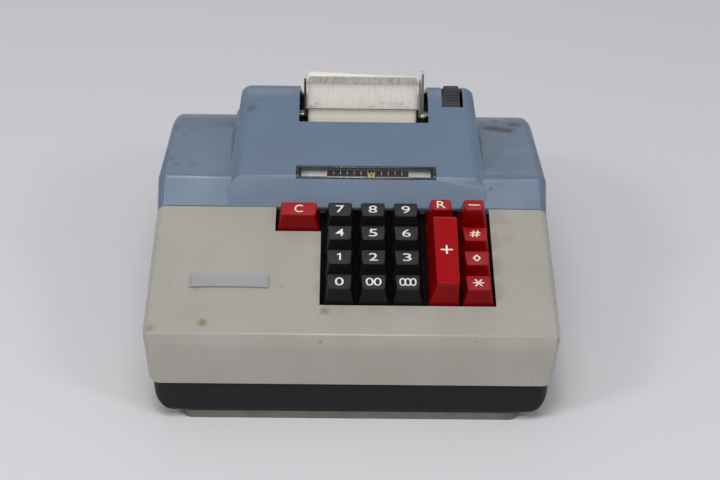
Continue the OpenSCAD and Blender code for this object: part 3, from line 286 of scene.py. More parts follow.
RIBBON, tree, surface, place = new_material("Inked_cotton_ribbon", Roughness=0.7)
weave = add(tree, "ShaderNodeTexWave", {"Vector": place, "Scale": DIAGONAL / WAVE}, bands_direction="DIAGONAL")
feed(tree, surface, Base_Color=blend(tree, weave.outputs["Fac"], "#1d1a22", "#2b2733"))

def acrylic(name, tone, shade, veil, stretch=(1, 1, 1)):
    material, tree, surface, place = new_material(name, IOR=1.49, Alpha=veil)
    wear = noise(tree, stretched(tree, place, stretch), 4, 6.0)
    feed(tree, surface, Base_Color=blend(tree, remap(tree, wear, 0.42, 0.66), tone, shade),
         Roughness=remap(tree, wear, 0.4, 0.8, 0.08, 0.3))
    return material

CLEAR = acrylic("Cast_acrylic_clear", "#c9ced2", "#b9bec2", 0.03)
TEAR = acrylic("Cast_acrylic_scratched", "#fbfaf8", "#efedea", 0.3, stretch=(2, 0.4, 0.4))
# painted shade: the lip's darker grey stands for the background seen along the sheet
SHADED_LIP = acrylic("Cast_acrylic_lip_painted_shade", "#b9b6b3", "#9a9794", 0.5, stretch=(2, 1, 1))
# painted shade: the lens's edge drawn as a near-opaque dark grey
LENS_EDGE_SHADE = acrylic("Cast_acrylic_edge_painted_shade", "#3f4246", "#2b2d31", 0.92)
SCALE_INK = moulded("Printing_ink_black", "#0e0d0f", "#141316", rough=0.6, grain=0.2, depth=0.01, sheen=0.1)
GRIME = moulded("Dried_ink_and_dust", "#4c4a45", "#2f2d2b", rough=0.8, grain=0.6, mottle=6)
STAIN = moulded("Faded_ink_brown", "#8f857c", "#776c63", rough=0.8, mottle=4)
print("all materials:", len(bpy.data.materials))

# %% [markdown]
# ## Dressing the solids whose shape is right
# Most of the mechanism needs no new shape, only a finish, so each CAD node is given its material and stays as it is.

# %% Assign finishes
FINISH = {
    # the wells under the keys carry a near-black painted shade
    "base_pad": PAD, "cover_screws": ZINC, "power_inlet": BLACK, "key_guide_plates": WELL_SHADE, "keyboard_posts": WELL_SHADE,
    "side_plate_left": ZINC, "side_plate_right": ZINC, "printer_cross_bar": ZINC, "guide_bracket_left": GRIMY,
    "guide_bracket_right": WORN, "paper_release_lever": WORN, "platen": RUBBER, "platen_shaft": GROUND,
    "pressure_roller": RUBBER, "paper_roll": ROLLED, "roll_spindle": BLACK, "roll_arms": ZINC, "pin_carriage": BRASS,
    "indicator_pointer": POINTER, "carriage_rails": GROUND, "type_sectors": BRASS, "type_shaft": GROUND,
    "main_shaft": GROUND, "main_gear": BRASS, "drive_cams": ZINC, "motor": MOTOR, "motor_rotor": BRASS,
    "ribbon_shelves": ZINC, "ribbon_spool_left": SPOOL, "ribbon_spool_right": SPOOL, "ink_ribbon": RIBBON,
    "window_lens": CLEAR, "indicator_scale": SATIN}
for name, material in FINISH.items():
    frame["nodes"][name].material_slots[0].material = material
print("nodes with a new finish:", len(FINISH))

# %% [markdown]
# ## Smooth covers
# CAD hands over loose flat triangles. A smooth copy is made in three steps: merge the loose corners, dissolve the
# edges between triangles that lie in one plane, and shade smooth wherever two faces meet at a small angle. Weighted
# normals then let the large faces win, so that a flat stays flat right up to its rounded edge.
# The shoulders' crease is softer than a plain fillet, so on the copy its corners are moved: they spread from the
# crease, and climb the band by three millimetres, fading out towards the back. Both moves are linear, so flats stay
# flat. The hump's band meets the seam without a ledge.

# %% A finished mesh and a smooth copy
def to_mesh(build, name):
    mesh = bpy.data.meshes.new(name)
    build.to_mesh(mesh)
    build.free()
    return mesh

def finish_mesh(name, mesh, material, body, angle=30.0, weighted=False):
    mesh.materials.clear()
    mesh.materials.append(material)
    mesh.shade_smooth()
    mesh.set_sharp_from_angle(angle=math.radians(angle))
    piece = bpy.data.objects.new(name, mesh)
    bpy.context.collection.objects.link(piece)
    if weighted:
        normals = piece.modifiers.new("weighted_normals", "WEIGHTED_NORMAL")
        normals.keep_sharp, normals.weight = True, 100
    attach(piece, body)
    return piece

def smooth_copy(node, material, carved=None):
    copy = bmesh.new()
    copy.from_mesh(frame["nodes"][node].data)
    bmesh.ops.remove_doubles(copy, verts=copy.verts, dist=2e-6)
    for v in copy.verts if carved else ():
        v.co = carved(v.co)
    bmesh.ops.remove_doubles(copy, verts=copy.verts, dist=1e-5)
    bmesh.ops.dissolve_limit(copy, angle_limit=math.radians(0.4), verts=copy.verts, edges=copy.edges)
    piece = finish_mesh(node + "_smooth", to_mesh(copy, node + "_smooth"), material, BODY_OF[node], weighted=True)
    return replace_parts(piece, node)

# Lean of the keyboard face, of the band behind the seam and of the shoulders' tops. A point of the side view is a
# depth behind the front face and a height, in millimetres.
SLOPE, BAND, FALL = math.radians(15.5), math.radians(50), math.radians(3)
FACE_FOOT, FACE_LENGTH, BAND_LENGTH = (2, 58.0), 97.8, 16.3
SEAM = Vector((FACE_FOOT[0] + FACE_LENGTH * math.cos(SLOPE), FACE_FOOT[1] + FACE_LENGTH * math.sin(SLOPE)))
UP_BAND, OFF_BAND = Vector((math.cos(BAND), math.sin(BAND))), Vector((-math.sin(BAND), math.cos(BAND)))
BACKWARDS, OFF_TOP = Vector((math.cos(FALL), -math.sin(FALL))), Vector((math.sin(FALL), math.cos(FALL)))
SHOULDER = SEAM + BAND_LENGTH * UP_BAND
WIDER, CLIMB, FADE = 0.8, 3.4, 78       # how much wider the crease gets, how far it climbs, and over what depth less
CREASE_REACH, CREASE_UNDER = 4.5, -1.7  # corners this near the crease, and no deeper, belong to its rounding
HUMP_MIDDLE, HUMP_HALF, BESIDE = 2.6, 72, 2.5   # the hump isn't moved, and the move sets in over this much beside it
TALL, BELOW_TALL = 13, 8                # nothing so tall over the shoulders is moved, and all is this much below it
HUMP_FOOT, FOOT_UP = (0.2, 1.6), 4      # the hump's foot lies so far off the band, up to so far from the seam

def clamped(value):
    return min(1.0, max(0.0, value))

def softened_shoulder(co):
    """Widen the round crease of the shoulders, carry it up the band, and bring the hump's foot to the seam."""
    off = Vector((co.y / MM - FRONT, co.z / MM)) - SHOULDER
    over_top, over_band = off.dot(OFF_TOP), off.dot(OFF_BAND)
    if HUMP_FOOT[0] < over_band < HUMP_FOOT[1] and off.dot(UP_BAND) < FOOT_UP - BAND_LENGTH:
        moved = SEAM
    else:
        share = clamped((abs(co.x / MM - HUMP_MIDDLE) - HUMP_HALF) / BESIDE) * clamped((TALL - over_top) / BELOW_TALL)
        if off.length < CREASE_REACH and min(over_top, over_band) > CREASE_UNDER:
            off *= 1.0 + WIDER * share
        up_band = clamped((SHOULDER + off - SEAM).dot(UP_BAND) / BAND_LENGTH)
        rise = min(up_band, max(0.0, 1 - off.dot(BACKWARDS) / FADE))
        moved = SHOULDER + off + UP_BAND * CLIMB * rise * share
    return Vector((co.x, (FRONT + moved.x) * MM, moved.y * MM))

for node, material, slot, carved in (("front_cover", BEIGE, "cover_beige", None),
                                     ("rear_cover", BLUE, "cover_blue", softened_shoulder),
                                     ("base_pan", ENAMEL, "base_paint", None)):
    piece = smooth_copy(node, material, carved)
    print(piece.name, len(piece.data.polygons), "faces")

# %% [markdown]
# ## The keyboard's own frame
# The keyboard face leans by 15.5 degrees. Working in its own frame is easier: x across, s up the slope from the
# casing's front top edge, and n out of the cover. One function turns that to the machine's frame in metres.

# %% Keyboard frame
PITCH, FIRST_COLUMN, FIRST_ROW = 19.0, -7.2, 30.9
FOOT, WIDE_FOOT = 17.0, 24.1

def on_face(x, s, n):
    return Vector((x, FRONT + FACE_FOOT[0] + s * math.cos(SLOPE) - n * math.sin(SLOPE),
                   FACE_FOOT[1] + s * math.sin(SLOPE) + n * math.cos(SLOPE))) * MM

# Each style: foot, height, top, how far the top's front edge lies behind the foot's, the top's shift to the right,
# and its tilt in degrees
STYLES = {"plain": ((FOOT, FOOT), 9.5, (12.8, 12.8), 2.3, 0.0, 9.5),
          "wide": ((WIDE_FOOT, FOOT), 9.5, (19.9, 12.8), 2.3, 0.0, 9.5),
          "tall": ((FOOT, FOOT), 14.3, (10.6, 10.2), 3.0, 0.0, 9.5),
          "bar": ((FOOT, 55.0), 14.0, (12.8, 52.0), 3.0, 1.8, 0.0)}

class Key:
    def __init__(self, node, column, row, style, mark):
        self.node, self.style, self.mark = node, style, mark
        self.foot, self.height, self.top, inset, self.shift, tilt = STYLES[style]
        self.x = FIRST_COLUMN + column * PITCH + (1.2 if column > 2 else 0)
        if column < 0:
            self.x = FIRST_COLUMN - FOOT / 2 - 3.3 - WIDE_FOOT / 2
        self.s = FIRST_ROW + row * PITCH
        self.front = inset - self.foot[1] / 2
        self.tilt = math.radians(tilt)
        self.stems = (-PITCH, PITCH) if style == "bar" else (0,)
        self.red = column < 0 or column > 2

KEYS = [Key("key_0", 0, 0, "plain", "0"), Key("key_00", 1, 0, "plain", "00"), Key("key_000", 2, 0, "plain", "000"),
        Key("key_clear", -1, 3, "wide", "C"), Key("key_repeat", 3, 3, "tall", "R"), Key("key_plus", 3, 1, "bar", "+"),
        Key("key_minus", 4, 3, "tall", "-"), Key("key_nonadd", 4, 2, "plain", "#"),
        Key("key_subtotal", 4, 1, "plain", "diamond"), Key("key_total", 4, 0, "plain", "*")]
KEYS += [Key(f"key_{3 * row + column + 1}", column, row + 1, "plain", str(3 * row + column + 1))
         for row in range(3) for column in range(3)]
print("keys:", len(KEYS), "first foot at", [round(v / MM, 1) for v in on_face(KEYS[0].x, KEYS[0].s, 0)])

# %% [markdown]
# ## Key caps
# A cap is a moulding that tapers from a square foot to a smaller finger face. The face leans back and is dished by
# about 0.4 mm, and its rim is a small radius that catches a line of light.
# The cap could be a bevelled cube, but a loft gives control of the taper, the rim and the dish at once: rings of
# points run from the foot to the rim, and go on shrinking across the face while they sink into the dish. A square
# stem with a round collar for the spring hangs below.

# %% Loft a cap
DISH, RIM = 0.38, 0.55
SKIRT, FOOT_LEVEL = -2.5, -1.0
CORNER, BETWEEN = 4, 5      # steps round each corner of a ring, and points along each side
STEM, COLLAR = (1.75, -26.5, -2.4, 4), (3.9, -11.3, -9.8, 24)   # half width, lower end, upper end, sides

def face_height(key, y):
    """Height of the finger face over the cover at a place along the key, without the dish."""
    return key.height - (y - key.front) * math.sin(key.tilt)

def dish(key, x, y):
    u, v = 2 * (x - key.shift) / key.top[0], 2 * (y - key.front) / key.top[1] - 1
    return DISH * max(0.0, 1 - max(abs(u), abs(v)) ** 2 * 0.5 - (u * u + v * v) * 0.5)

def ring(key, up, pull):
    """Points round the cap at a share of its height, pulled in from the outline by pull."""
    points, radius = [], max(0.15, 0.9 + 0.5 * up - pull)
    for sx, sy, start in ((1, 1, 0), (-1, 1, 90), (-1, -1, 180), (1, -1, 270)):
        low = Vector((sx * key.foot[0] / 2, sy * key.foot[1] / 2))
        flare = 0.5 if sy > 0 else 0.0
        high = Vector((key.shift + sx * (key.top[0] / 2 + flare), key.front + (key.top[1] if sy > 0 else 0)))
        mid = low.lerp(high, up) - Vector((sx, sy)) * (radius + pull + 0.25 * math.sin(math.pi * up))
        turns = [math.radians(start + 90 * i / CORNER) for i in range(CORNER + 1)]
        points += [mid + radius * Vector((math.cos(turn), math.sin(turn))) for turn in turns]
    step, outline = CORNER + 1, []
    for c in range(4):
        outline += points[c * step:(c + 1) * step]
        a, b = points[c * step + CORNER], points[((c + 1) * step) % (4 * step)]
        outline += [a.lerp(b, (i + 1) / (BETWEEN + 1)) for i in range(BETWEEN)]
    return outline

def cap_rings(key):
    rows = []
    for up, foot in ((0.0, SKIRT), *[(quarter / 4, FOOT_LEVEL) for quarter in range(5)]):
        rows.append([(p.x, p.y, foot + (face_height(key, p.y) - RIM - foot) * up) for p in ring(key, up, 0)])
    for turn in (math.radians(30), math.radians(60), math.radians(90)):
        rows.append([(p.x, p.y, face_height(key, p.y) - RIM * (1 - math.sin(turn)))
                     for p in ring(key, 1.0, RIM * (1 - math.cos(turn)))])
    edge, centre = rows[-1], (key.shift, key.front + key.top[1] / 2)
    for share in (0.9, 0.75, 0.55, 0.35, 0.15):
        flat = [(centre[0] + (x - centre[0]) * share, centre[1] + (y - centre[1]) * share) for x, y, z in edge]
        rows.append([(x, y, face_height(key, y) - dish(key, x, y)) for x, y in flat])
    return rows

def key_piece(key, material):
    rows = cap_rings(key)
    count = len(rows[0])
    verts = [on_face(key.x + x, key.s + y, n) for row in rows for x, y, n in row]
    faces = [(r * count + i, r * count + (i + 1) % count, (r + 1) * count + (i + 1) % count, (r + 1) * count + i)
             for r in range(len(rows) - 1) for i in range(count)]
    faces += [tuple(reversed(range(count))), tuple(range((len(rows) - 1) * count, len(rows) * count))]
    for offset in key.stems:
        for half, low, high, sides in (STEM, COLLAR):
            turn, radius = (math.pi / 4, half * math.sqrt(2)) if sides == 4 else (0, half)
            base = len(verts)
            verts += [on_face(key.x + radius * math.cos(turn + 2 * math.pi * i / sides),
                              key.s + offset + radius * math.sin(turn + 2 * math.pi * i / sides), n)
                      for n in (low, high) for i in range(sides)]
            faces += [(base + i, base + (i + 1) % sides, base + sides + (i + 1) % sides, base + sides + i)
                      for i in range(sides)]
            faces += [tuple(base + i for i in reversed(range(sides))), tuple(base + sides + i for i in range(sides))]
    mesh = bpy.data.meshes.new(key.node + "_cap")
    mesh.from_pydata(verts, [], faces)
    mesh.update()
    piece = finish_mesh(key.node + "_cap", mesh, material, BODY_OF[key.node], angle=40)
    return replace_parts(piece, key.node)

for key in KEYS:
    key_piece(key, KEY_RED if key.red else KEY_DARK)

# %% [markdown]
# ## Legends
# The figures are moulded in a second shot of white plastic, flush with the face. Here each one is a thin solid that
# stands three hundredths of a millimetre proud, so that it shows. Figures and letters start as text, made a mesh
# before they are placed. The signs are built from strokes. Every legend is then cut into a fine grid, so that it
# can follow the dish of its key.

# %% Legends
LEGEND_HALF, LEGEND_SUNK = 0.15, 0.12   # half a legend's thickness, and how deep its middle lies under the face
REACH, CUT = 6, 1.1                     # cuts each way from the middle of a legend, and millimetres between them

def prism(build, low_points, high_points):
    """A closed solid between two rings of points. It returns the face at its high end."""
    low, high = [[build.verts.new(point) for point in points] for points in (low_points, high_points)]
    top = build.faces.new(high)
    build.faces.new(low[::-1])
    for i in range(len(low)):
        j = (i + 1) % len(low)
        build.faces.new((low[i], low[j], high[j], high[i]))
    return top

def strokes(segments, width):
    """Round-ended bars between pairs of points, in one mesh."""
    build, radius = bmesh.new(), width / 2
    for (x0, y0), (x1, y1) in segments:
        a = math.atan2(y1 - y0, x1 - x0)
        ends = [(x1, y1, a - math.pi / 2), (x0, y0, a + math.pi / 2)]
        outline = [(x + radius * math.cos(t + math.pi * i / 6), y + radius * math.sin(t + math.pi * i / 6))
                   for x, y, t in ends for i in range(7)]
        prism(build, *[[(x, y, z) for x, y in outline] for z in (-LEGEND_HALF, LEGEND_HALF)])
    return build

def lettering(text, width, height, spacing):
    curve = bpy.data.curves.new("legend_text", "FONT")
    curve.body, curve.size, curve.offset, curve.extrude = text, 10.0, 0.02, LEGEND_HALF
    curve.align_x, curve.align_y, curve.space_character, curve.resolution_u = "CENTER", "CENTER", spacing, 5
    holder = bpy.data.objects.new("legend_text", curve)
    bpy.context.collection.objects.link(holder)
    mesh = bpy.data.meshes.new_from_object(holder.evaluated_get(bpy.context.evaluated_depsgraph_get()))
    bpy.data.objects.remove(holder)
    build = bmesh.new()
    build.from_mesh(mesh)
    bmesh.ops.remove_doubles(build, verts=build.verts, dist=1e-4)
    xs, ys = [v.co.x for v in build.verts], [v.co.y for v in build.verts]
    for v in build.verts:
        v.co.x = (v.co.x - (max(xs) + min(xs)) / 2) * width / (max(xs) - min(xs))
        v.co.y = (v.co.y - (max(ys) + min(ys)) / 2) * height / (max(ys) - min(ys))
    return build

# Width, height and spacing of each text, and the strokes of each sign with their width
FIGURE = (4.9, 7.0, 1.0)
SIZES = {"00": (8.8, 7.0, 0.9), "000": (9.6, 7.0, 0.7), "C": (4.9, 7.3, 1.0), "R": (4.9, 6.8, 1.0)}
SIGNS = {
    "1": ([((0.3, -2.9), (0.3, 2.9)), ((0.3, 2.9), (-1.0, 2.0))], 0.95),
    "+": ([((-3.0, 0), (3.0, 0)), ((0, -2.9), (0, 2.9))], 1.05), "-": ([((-2.8, 0), (2.8, 0))], 0.95),
    "*": ([((-2.8, 0), (2.8, 0)), ((-1.7, -2.8), (1.7, 2.8)), ((-1.7, 2.8), (1.7, -2.8))], 0.85),
    "diamond": ([((-1.85, 0), (0, 2.7)), ((0, 2.7), (1.85, 0)), ((1.85, 0), (0, -2.7)), ((0, -2.7), (-1.85, 0))],
                0.95),
    "#": ([((-2.8, -1.3), (2.5, -0.9)), ((-2.5, 0.9), (2.8, 1.3)), ((-1.6, -2.7), (-0.7, 2.7)),
           ((0.7, -2.7), (1.6, 2.7))], 0.85)}

def legend_piece(key):
    if key.mark in SIGNS:
        build = strokes(*SIGNS[key.mark])
    else:
        build = lettering(key.mark, *SIZES.get(key.mark, FIGURE))
    for normal in (Vector((1, 0, 0)), Vector((0, 1, 0))):
        for i in range(-REACH, REACH + 1):
            bmesh.ops.bisect_plane(build, geom=build.verts[:] + build.edges[:] + build.faces[:], dist=1e-5,
                                   plane_co=normal * i * CUT, plane_no=normal)
    middle = key.front + key.top[1] * (0.5 if key.style == "bar" else 0.53)
    for v in build.verts:
        x, y = key.shift + v.co.x, middle + v.co.y * math.cos(key.tilt)
        v.co = on_face(key.x + x, key.s + y, face_height(key, y) - dish(key, x, y) + v.co.z - LEGEND_SUNK)
    bmesh.ops.triangulate(build, faces=build.faces)
    name = key.node + "_legend"
    piece = finish_mesh(name, to_mesh(build, name), LEGEND, BODY_OF[key.node])
    return piece

for key in KEYS:
    legend_piece(key)
print("legends made:", len(KEYS))

# %% [markdown]
# ## Geometry Nodes for what repeats
# Ribs, blocks and coils repeat by a rule, so node trees make them. Each tree is built here with named inputs for its
# sizes. A carrier object runs it, the result is baked to a plain mesh, and the carrier goes. The inputs are set by
# their identifiers before anything is evaluated, and each tree ends by making its instances real.

# %% Build and bake a tree
def new_tree(name, inputs):
    tree = bpy.data.node_groups.new(name, "GeometryNodeTree")
    for title, kind in inputs.items():
        tree.interface.new_socket(title, in_out="INPUT", socket_type=kind)
    tree.interface.new_socket("Geometry", in_out="OUTPUT", socket_type="NodeSocketGeometry")
    return tree, add(tree, "NodeGroupInput").outputs

def end_tree(tree, geometry, given):
    real = add(tree, "GeometryNodeRealizeInstances", {"Geometry": geometry})
    done = add(tree, "GeometryNodeSetMaterial", {"Geometry": real, "Material": given["Finish"]})
    add(tree, "NodeGroupOutput", {"Geometry": done})

def baked(tree, values):
    carrier = bpy.data.objects.new("carrier", bpy.data.meshes.new("carrier"))
    bpy.context.collection.objects.link(carrier)
    modifier = carrier.modifiers.new("nodes", "NODES")
    modifier.node_group = tree
    for socket in tree.interface.items_tree:
        if socket.in_out == "INPUT":
            modifier[socket.identifier] = values[socket.name]
    mesh = bpy.data.meshes.new_from_object(carrier.evaluated_get(bpy.context.evaluated_depsgraph_get()))
    carrier.modifiers.remove(modifier)
    bpy.data.objects.remove(carrier)
    return mesh

# %% [markdown]
# ## Return springs
# Under each key a compression spring is wound from 0.7 mm wire, and sits round the stem between the lower guide plate
# and the stem's collar. The CAD solid is a plain tube. A spiral swept by a small circle gives the wire.

# %% Coil springs
SPRING_FOOT, WIRE_RADIUS, COIL_RADIUS = -24, 0.35, 3.25
COIL, given = new_tree("wound_spring", {"Turns": "NodeSocketFloat", "Radius": "NodeSocketFloat",
                       "Height": "NodeSocketFloat", "Wire": "NodeSocketFloat", "Finish": "NodeSocketMaterial"})
spiral = add(COIL, "GeometryNodeCurveSpiral", {"Resolution": 18, "Rotations": given["Turns"],
             "Start Radius": given["Radius"], "End Radius": given["Radius"], "Height": given["Height"]})
section = add(COIL, "GeometryNodeCurvePrimitiveCircle", {"Resolution": 8, "Radius": given["Wire"]})
wire = add(COIL, "GeometryNodeCurveToMesh", {"Curve": spiral, "Profile Curve": section, "Fill Caps": True})
end_tree(COIL, wire, given)
coil = baked(COIL, {"Turns": 7.0, "Radius": COIL_RADIUS * MM, "Height": 12.0 * MM, "Wire": WIRE_RADIUS * MM,
                    "Finish": WIRE})

for key in KEYS:
    for number, offset in enumerate(key.stems):
        foot = on_face(key.x, key.s + offset, SPRING_FOOT)
        start = on_face(key.x, key.s + offset, SPRING_FOOT + WIRE_RADIUS)
        mesh = coil.copy()
        mesh.transform(Matrix.Translation(start) @ Matrix.Rotation(SLOPE, 4, "X"))
        piece = finish_mesh(f"{key.node}_spring_{number + 1}", mesh, WIRE, "machine", angle=60)
        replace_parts(piece, "key_springs")
        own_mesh(piece)

# %% [markdown]
# ## Ribbed thumbwheel
# The wheel that winds the paper is moulded with 60 round ribs, so that a thumb can grip it. The CAD solid has notches
# with flat sides. Here a plain drum carries one round rib at each point of a circle.

# %% Thumbwheel
RIBBED, given = new_tree("ribbed_wheel", {"Ribs": "NodeSocketInt", "Radius": "NodeSocketFloat",
                         "Width": "NodeSocketFloat", "Rib": "NodeSocketFloat", "Finish": "NodeSocketMaterial"})
seat = add(RIBBED, "ShaderNodeMath", {0: given["Radius"], 1: given["Rib"]}, operation="SUBTRACT")
drum = add(RIBBED, "GeometryNodeMeshCylinder", {"Vertices": 96, "Radius": seat, "Depth": given["Width"]})
inner = add(RIBBED, "ShaderNodeMath", {0: given["Width"], 1: 0.9}, operation="MULTIPLY")
places = add(RIBBED, "GeometryNodeMeshCircle", {"Vertices": given["Ribs"], "Radius": seat})
rib = add(RIBBED, "GeometryNodeMeshCylinder", {"Vertices": 10, "Radius": given["Rib"], "Depth": inner})
ribs = add(RIBBED, "GeometryNodeInstanceOnPoints", {"Points": places, "Instance": rib})
joined = add(RIBBED, "GeometryNodeJoinGeometry")
RIBBED.links.new(ribs.outputs[0], joined.inputs[0])
RIBBED.links.new(drum.outputs[0], joined.inputs[0])
end_tree(RIBBED, joined, given)
low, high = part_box("platen_knob")
wheel = baked(RIBBED, {"Ribs": 60, "Radius": (high.z - low.z) / 2, "Width": high.x - low.x, "Rib": 0.6 * MM,
                       "Finish": WHEEL})
wheel.transform(Matrix.Translation((low + high) / 2) @ Matrix.Rotation(math.pi / 2, 4, "Y"))
piece = finish_mesh("thumbwheel_ribbed", wheel, WHEEL, BODY_OF["platen_knob"], angle=40)
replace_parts(piece, "platen_knob")
print("thumbwheel faces:", len(wheel.polygons))

# %% [markdown]
# ## The hump's own frame
# The window, the scale and the pointer all lie along the hump's sloping face. Their frame runs x across, u up the face
# from its front crease, and d out of the face.

# %% Hump frame and drawn-out solids
HUMP = math.radians(30)
CREASE = SEAM + 18.7 * UP_BAND + 1.2 * OFF_BAND

def on_hump(u, d):
    return Vector((CREASE.x + u * math.cos(HUMP) - d * math.sin(HUMP),
                   CREASE.y + u * math.sin(HUMP) + d * math.cos(HUMP)))

def on_band(down, d):
    return Vector((CREASE.x - down * math.cos(BAND) - d * math.sin(BAND),
                   CREASE.y - down * math.sin(BAND) + d * math.cos(BAND)))

def in_machine(x, q):
    """The machine's own point, in metres, at x and at the point q of the side view."""
    return Vector((x * MM, (FRONT + q.x) * MM, q.y * MM))

def drawn_out(name, outlines, material, node, bevel, replace=False, angle=40):
    """Outlines in the side view, each drawn out along X between two places, with small round edges, as one piece."""
    build = bmesh.new()
    for points, x0, x1 in outlines:
        prism(build, [in_machine(x0, q) for q in points], [in_machine(x1, q) for q in points])
    bmesh.ops.recalc_face_normals(build, faces=build.faces)
    if bevel:
        bmesh.ops.bevel(build, geom=build.edges[:], offset=bevel * MM, segments=2, profile=0.5, affect="EDGES")
    piece = finish_mesh(name, to_mesh(build, name), material, BODY_OF[node], angle)
    if replace:
        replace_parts(piece, node)
    return piece

print("hump crease at", [round(v, 1) for v in CREASE])

# %% [markdown]
# ## Indicator window
# The lens is a clear strip bent over the hump's crease. Its thick edge is drawn as a near-opaque dark grey rim:
# painted shade for how the edge gathers light and shows as a grey frame. Behind it lies a silver strip with a white
# middle and one black block for each column. Red marks split the columns in threes, and a yellow-green pointer rides
# on the carriage.

# %% Window rim, scale and pointer mark
low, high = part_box("window_lens")
x0, x1 = low.x / MM, high.x / MM
rim_up = [on_hump(6.8, 0.38), on_hump(5.7, 0.38), on_hump(5.7, -1.6), on_hump(6.8, -1.6)]
rim_down = [on_band(1.7, 0.38), on_band(0.7, 0.38), on_band(0.7, -1.6), on_band(1.7, -1.6)]
rim_end = [on_hump(6.8, 0.4), on_hump(0.2, 0.4), on_band(1.7, 0.4), on_band(1.7, -1.8), on_hump(0.6, -1.8),
           on_hump(6.8, -1.8)]
# the window rim carries the painted shade of the lens's edge
drawn_out("window_rim", [(rim_up, x0, x1), (rim_down, x0, x1), (rim_end, x0, x0 + 1.5), (rim_end, x1 - 1.5, x1)],
          LENS_EDGE_SHADE, "window_lens", bevel=0.15)

ROW, given = new_tree("row_of_blocks", {"Count": "NodeSocketInt", "Pitch": "NodeSocketVector",
                      "First": "NodeSocketVector", "Size": "NodeSocketVector", "Finish": "NodeSocketMaterial"})
line = add(ROW, "GeometryNodeMeshLine",
           {"Count": given["Count"], "Start Location": given["First"], "Offset": given["Pitch"]})
block = add(ROW, "GeometryNodeMeshCube", {"Size": given["Size"]})
blocks = add(ROW, "GeometryNodeInstanceOnPoints", {"Points": line, "Instance": block})
end_tree(ROW, blocks, given)

SCALE_DEPTH, PRINT_THICK = 5.6, 0.12

def scale_row(name, count, pitch, first, width, u0, u1, lift, finish):
    """Flat blocks from u0 to u1 up the hump, lift millimetres above the strip that carries the scale."""
    mesh = baked(ROW, {"Count": count, "Pitch": Vector((pitch * MM, 0, 0)), "First": Vector((first * MM, 0, 0)),
                       "Size": Vector((width, u1 - u0, PRINT_THICK)) * MM, "Finish": finish})
    place = in_machine(0, on_hump((u0 + u1) / 2, lift - SCALE_DEPTH))
    mesh.transform(Matrix.Translation(place) @ Matrix.Rotation(HUMP, 4, "X"))
    finish_mesh(name, mesh, finish, "machine")

MIDDLE, STEP = 9.0, 4.05
scale_row("scale_white_field", 1, 0, MIDDLE, 12 * STEP + 0.6, 1.9, 8.4, 0.05, LEGEND)
scale_row("scale_column_blocks", 12, STEP, MIDDLE - 5.5 * STEP, STEP - 0.4, 4.2, 7.4, 0.12, SCALE_INK)
scale_row("scale_dark_band", 1, 0, MIDDLE, 12 * STEP, 2.9, 4.3, 0.1, SCALE_INK)
scale_row("scale_red_marks", 4, 3 * STEP, MIDDLE - 5 * STEP, 1.1, 3.6, 4.9, 0.2, KEY_RED)

carriage_middle = (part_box("indicator_pointer")[0].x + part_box("indicator_pointer")[1].x) / 2 / MM
mark = bmesh.new()
for side in (-1, 1):
    corners = [(carriage_middle + side * 1.5, 4.7), (carriage_middle + side * 0.8, 4.7), (carriage_middle, 3.2),
               (carriage_middle, 2.2)]
    prism(mark, *[[in_machine(x, on_hump(u, d)) for x, u in corners] for d in (-4.15, -4.02)])
bmesh.ops.recalc_face_normals(mark, faces=mark.faces)
piece = finish_mesh("pointer_mark", to_mesh(mark, "pointer_mark"), SCALE_INK, BODY_OF["indicator_pointer"])
print("scale from", round(MIDDLE - 6 * STEP, 1), "to", round(MIDDLE + 6 * STEP, 1), "with the pointer at",
      round(carriage_middle, 1))

# %% [markdown]
# ## Blank name plate
# The plate on the keyboard cover is left bare. It is a die-struck plate of brushed aluminium whose long sides are
# drawn in a little towards the middle, with a raised rim round a sunk field.

# %% Name plate
low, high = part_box("badge_plate")
left, width = low.x / MM, (high.x - low.x) / MM
BOTTOM, HEIGHT, THICK, RIM_RISE, DRAWN_IN, STEPS = 32.8, 9.9, 1.4, 0.35, 0.5, 16

def waist(share):
    return DRAWN_IN * (1 - (2 * share - 1) ** 2)

outline = [(left + width * i / STEPS, BOTTOM + waist(i / STEPS)) for i in range(STEPS + 1)]
outline += [(left + width * i / STEPS, BOTTOM + HEIGHT - waist(i / STEPS)) for i in range(STEPS, -1, -1)]
plate = bmesh.new()
field = prism(plate, *[[on_face(x, s, n) for x, s in outline] for n in (0.0, THICK - RIM_RISE)])
outwards = on_face(0, 0, 1) - on_face(0, 0, 0)
for inset, lift in ((0.35, RIM_RISE), (0.9, 0.0), (0.3, -0.3)):
    bmesh.ops.inset_region(plate, faces=[field], thickness=inset * MM, depth=0.0, use_even_offset=True)
    bmesh.ops.translate(plate, verts=field.verts[:], vec=outwards * lift)
bmesh.ops.recalc_face_normals(plate, faces=plate.faces)
mesh = to_mesh(plate, "badge_plate_struck")
piece = finish_mesh("badge_plate_struck", mesh, BADGE, BODY_OF["badge_plate"], angle=25)
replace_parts(piece, "badge_plate")
print("name plate faces:", len(mesh.polygons))
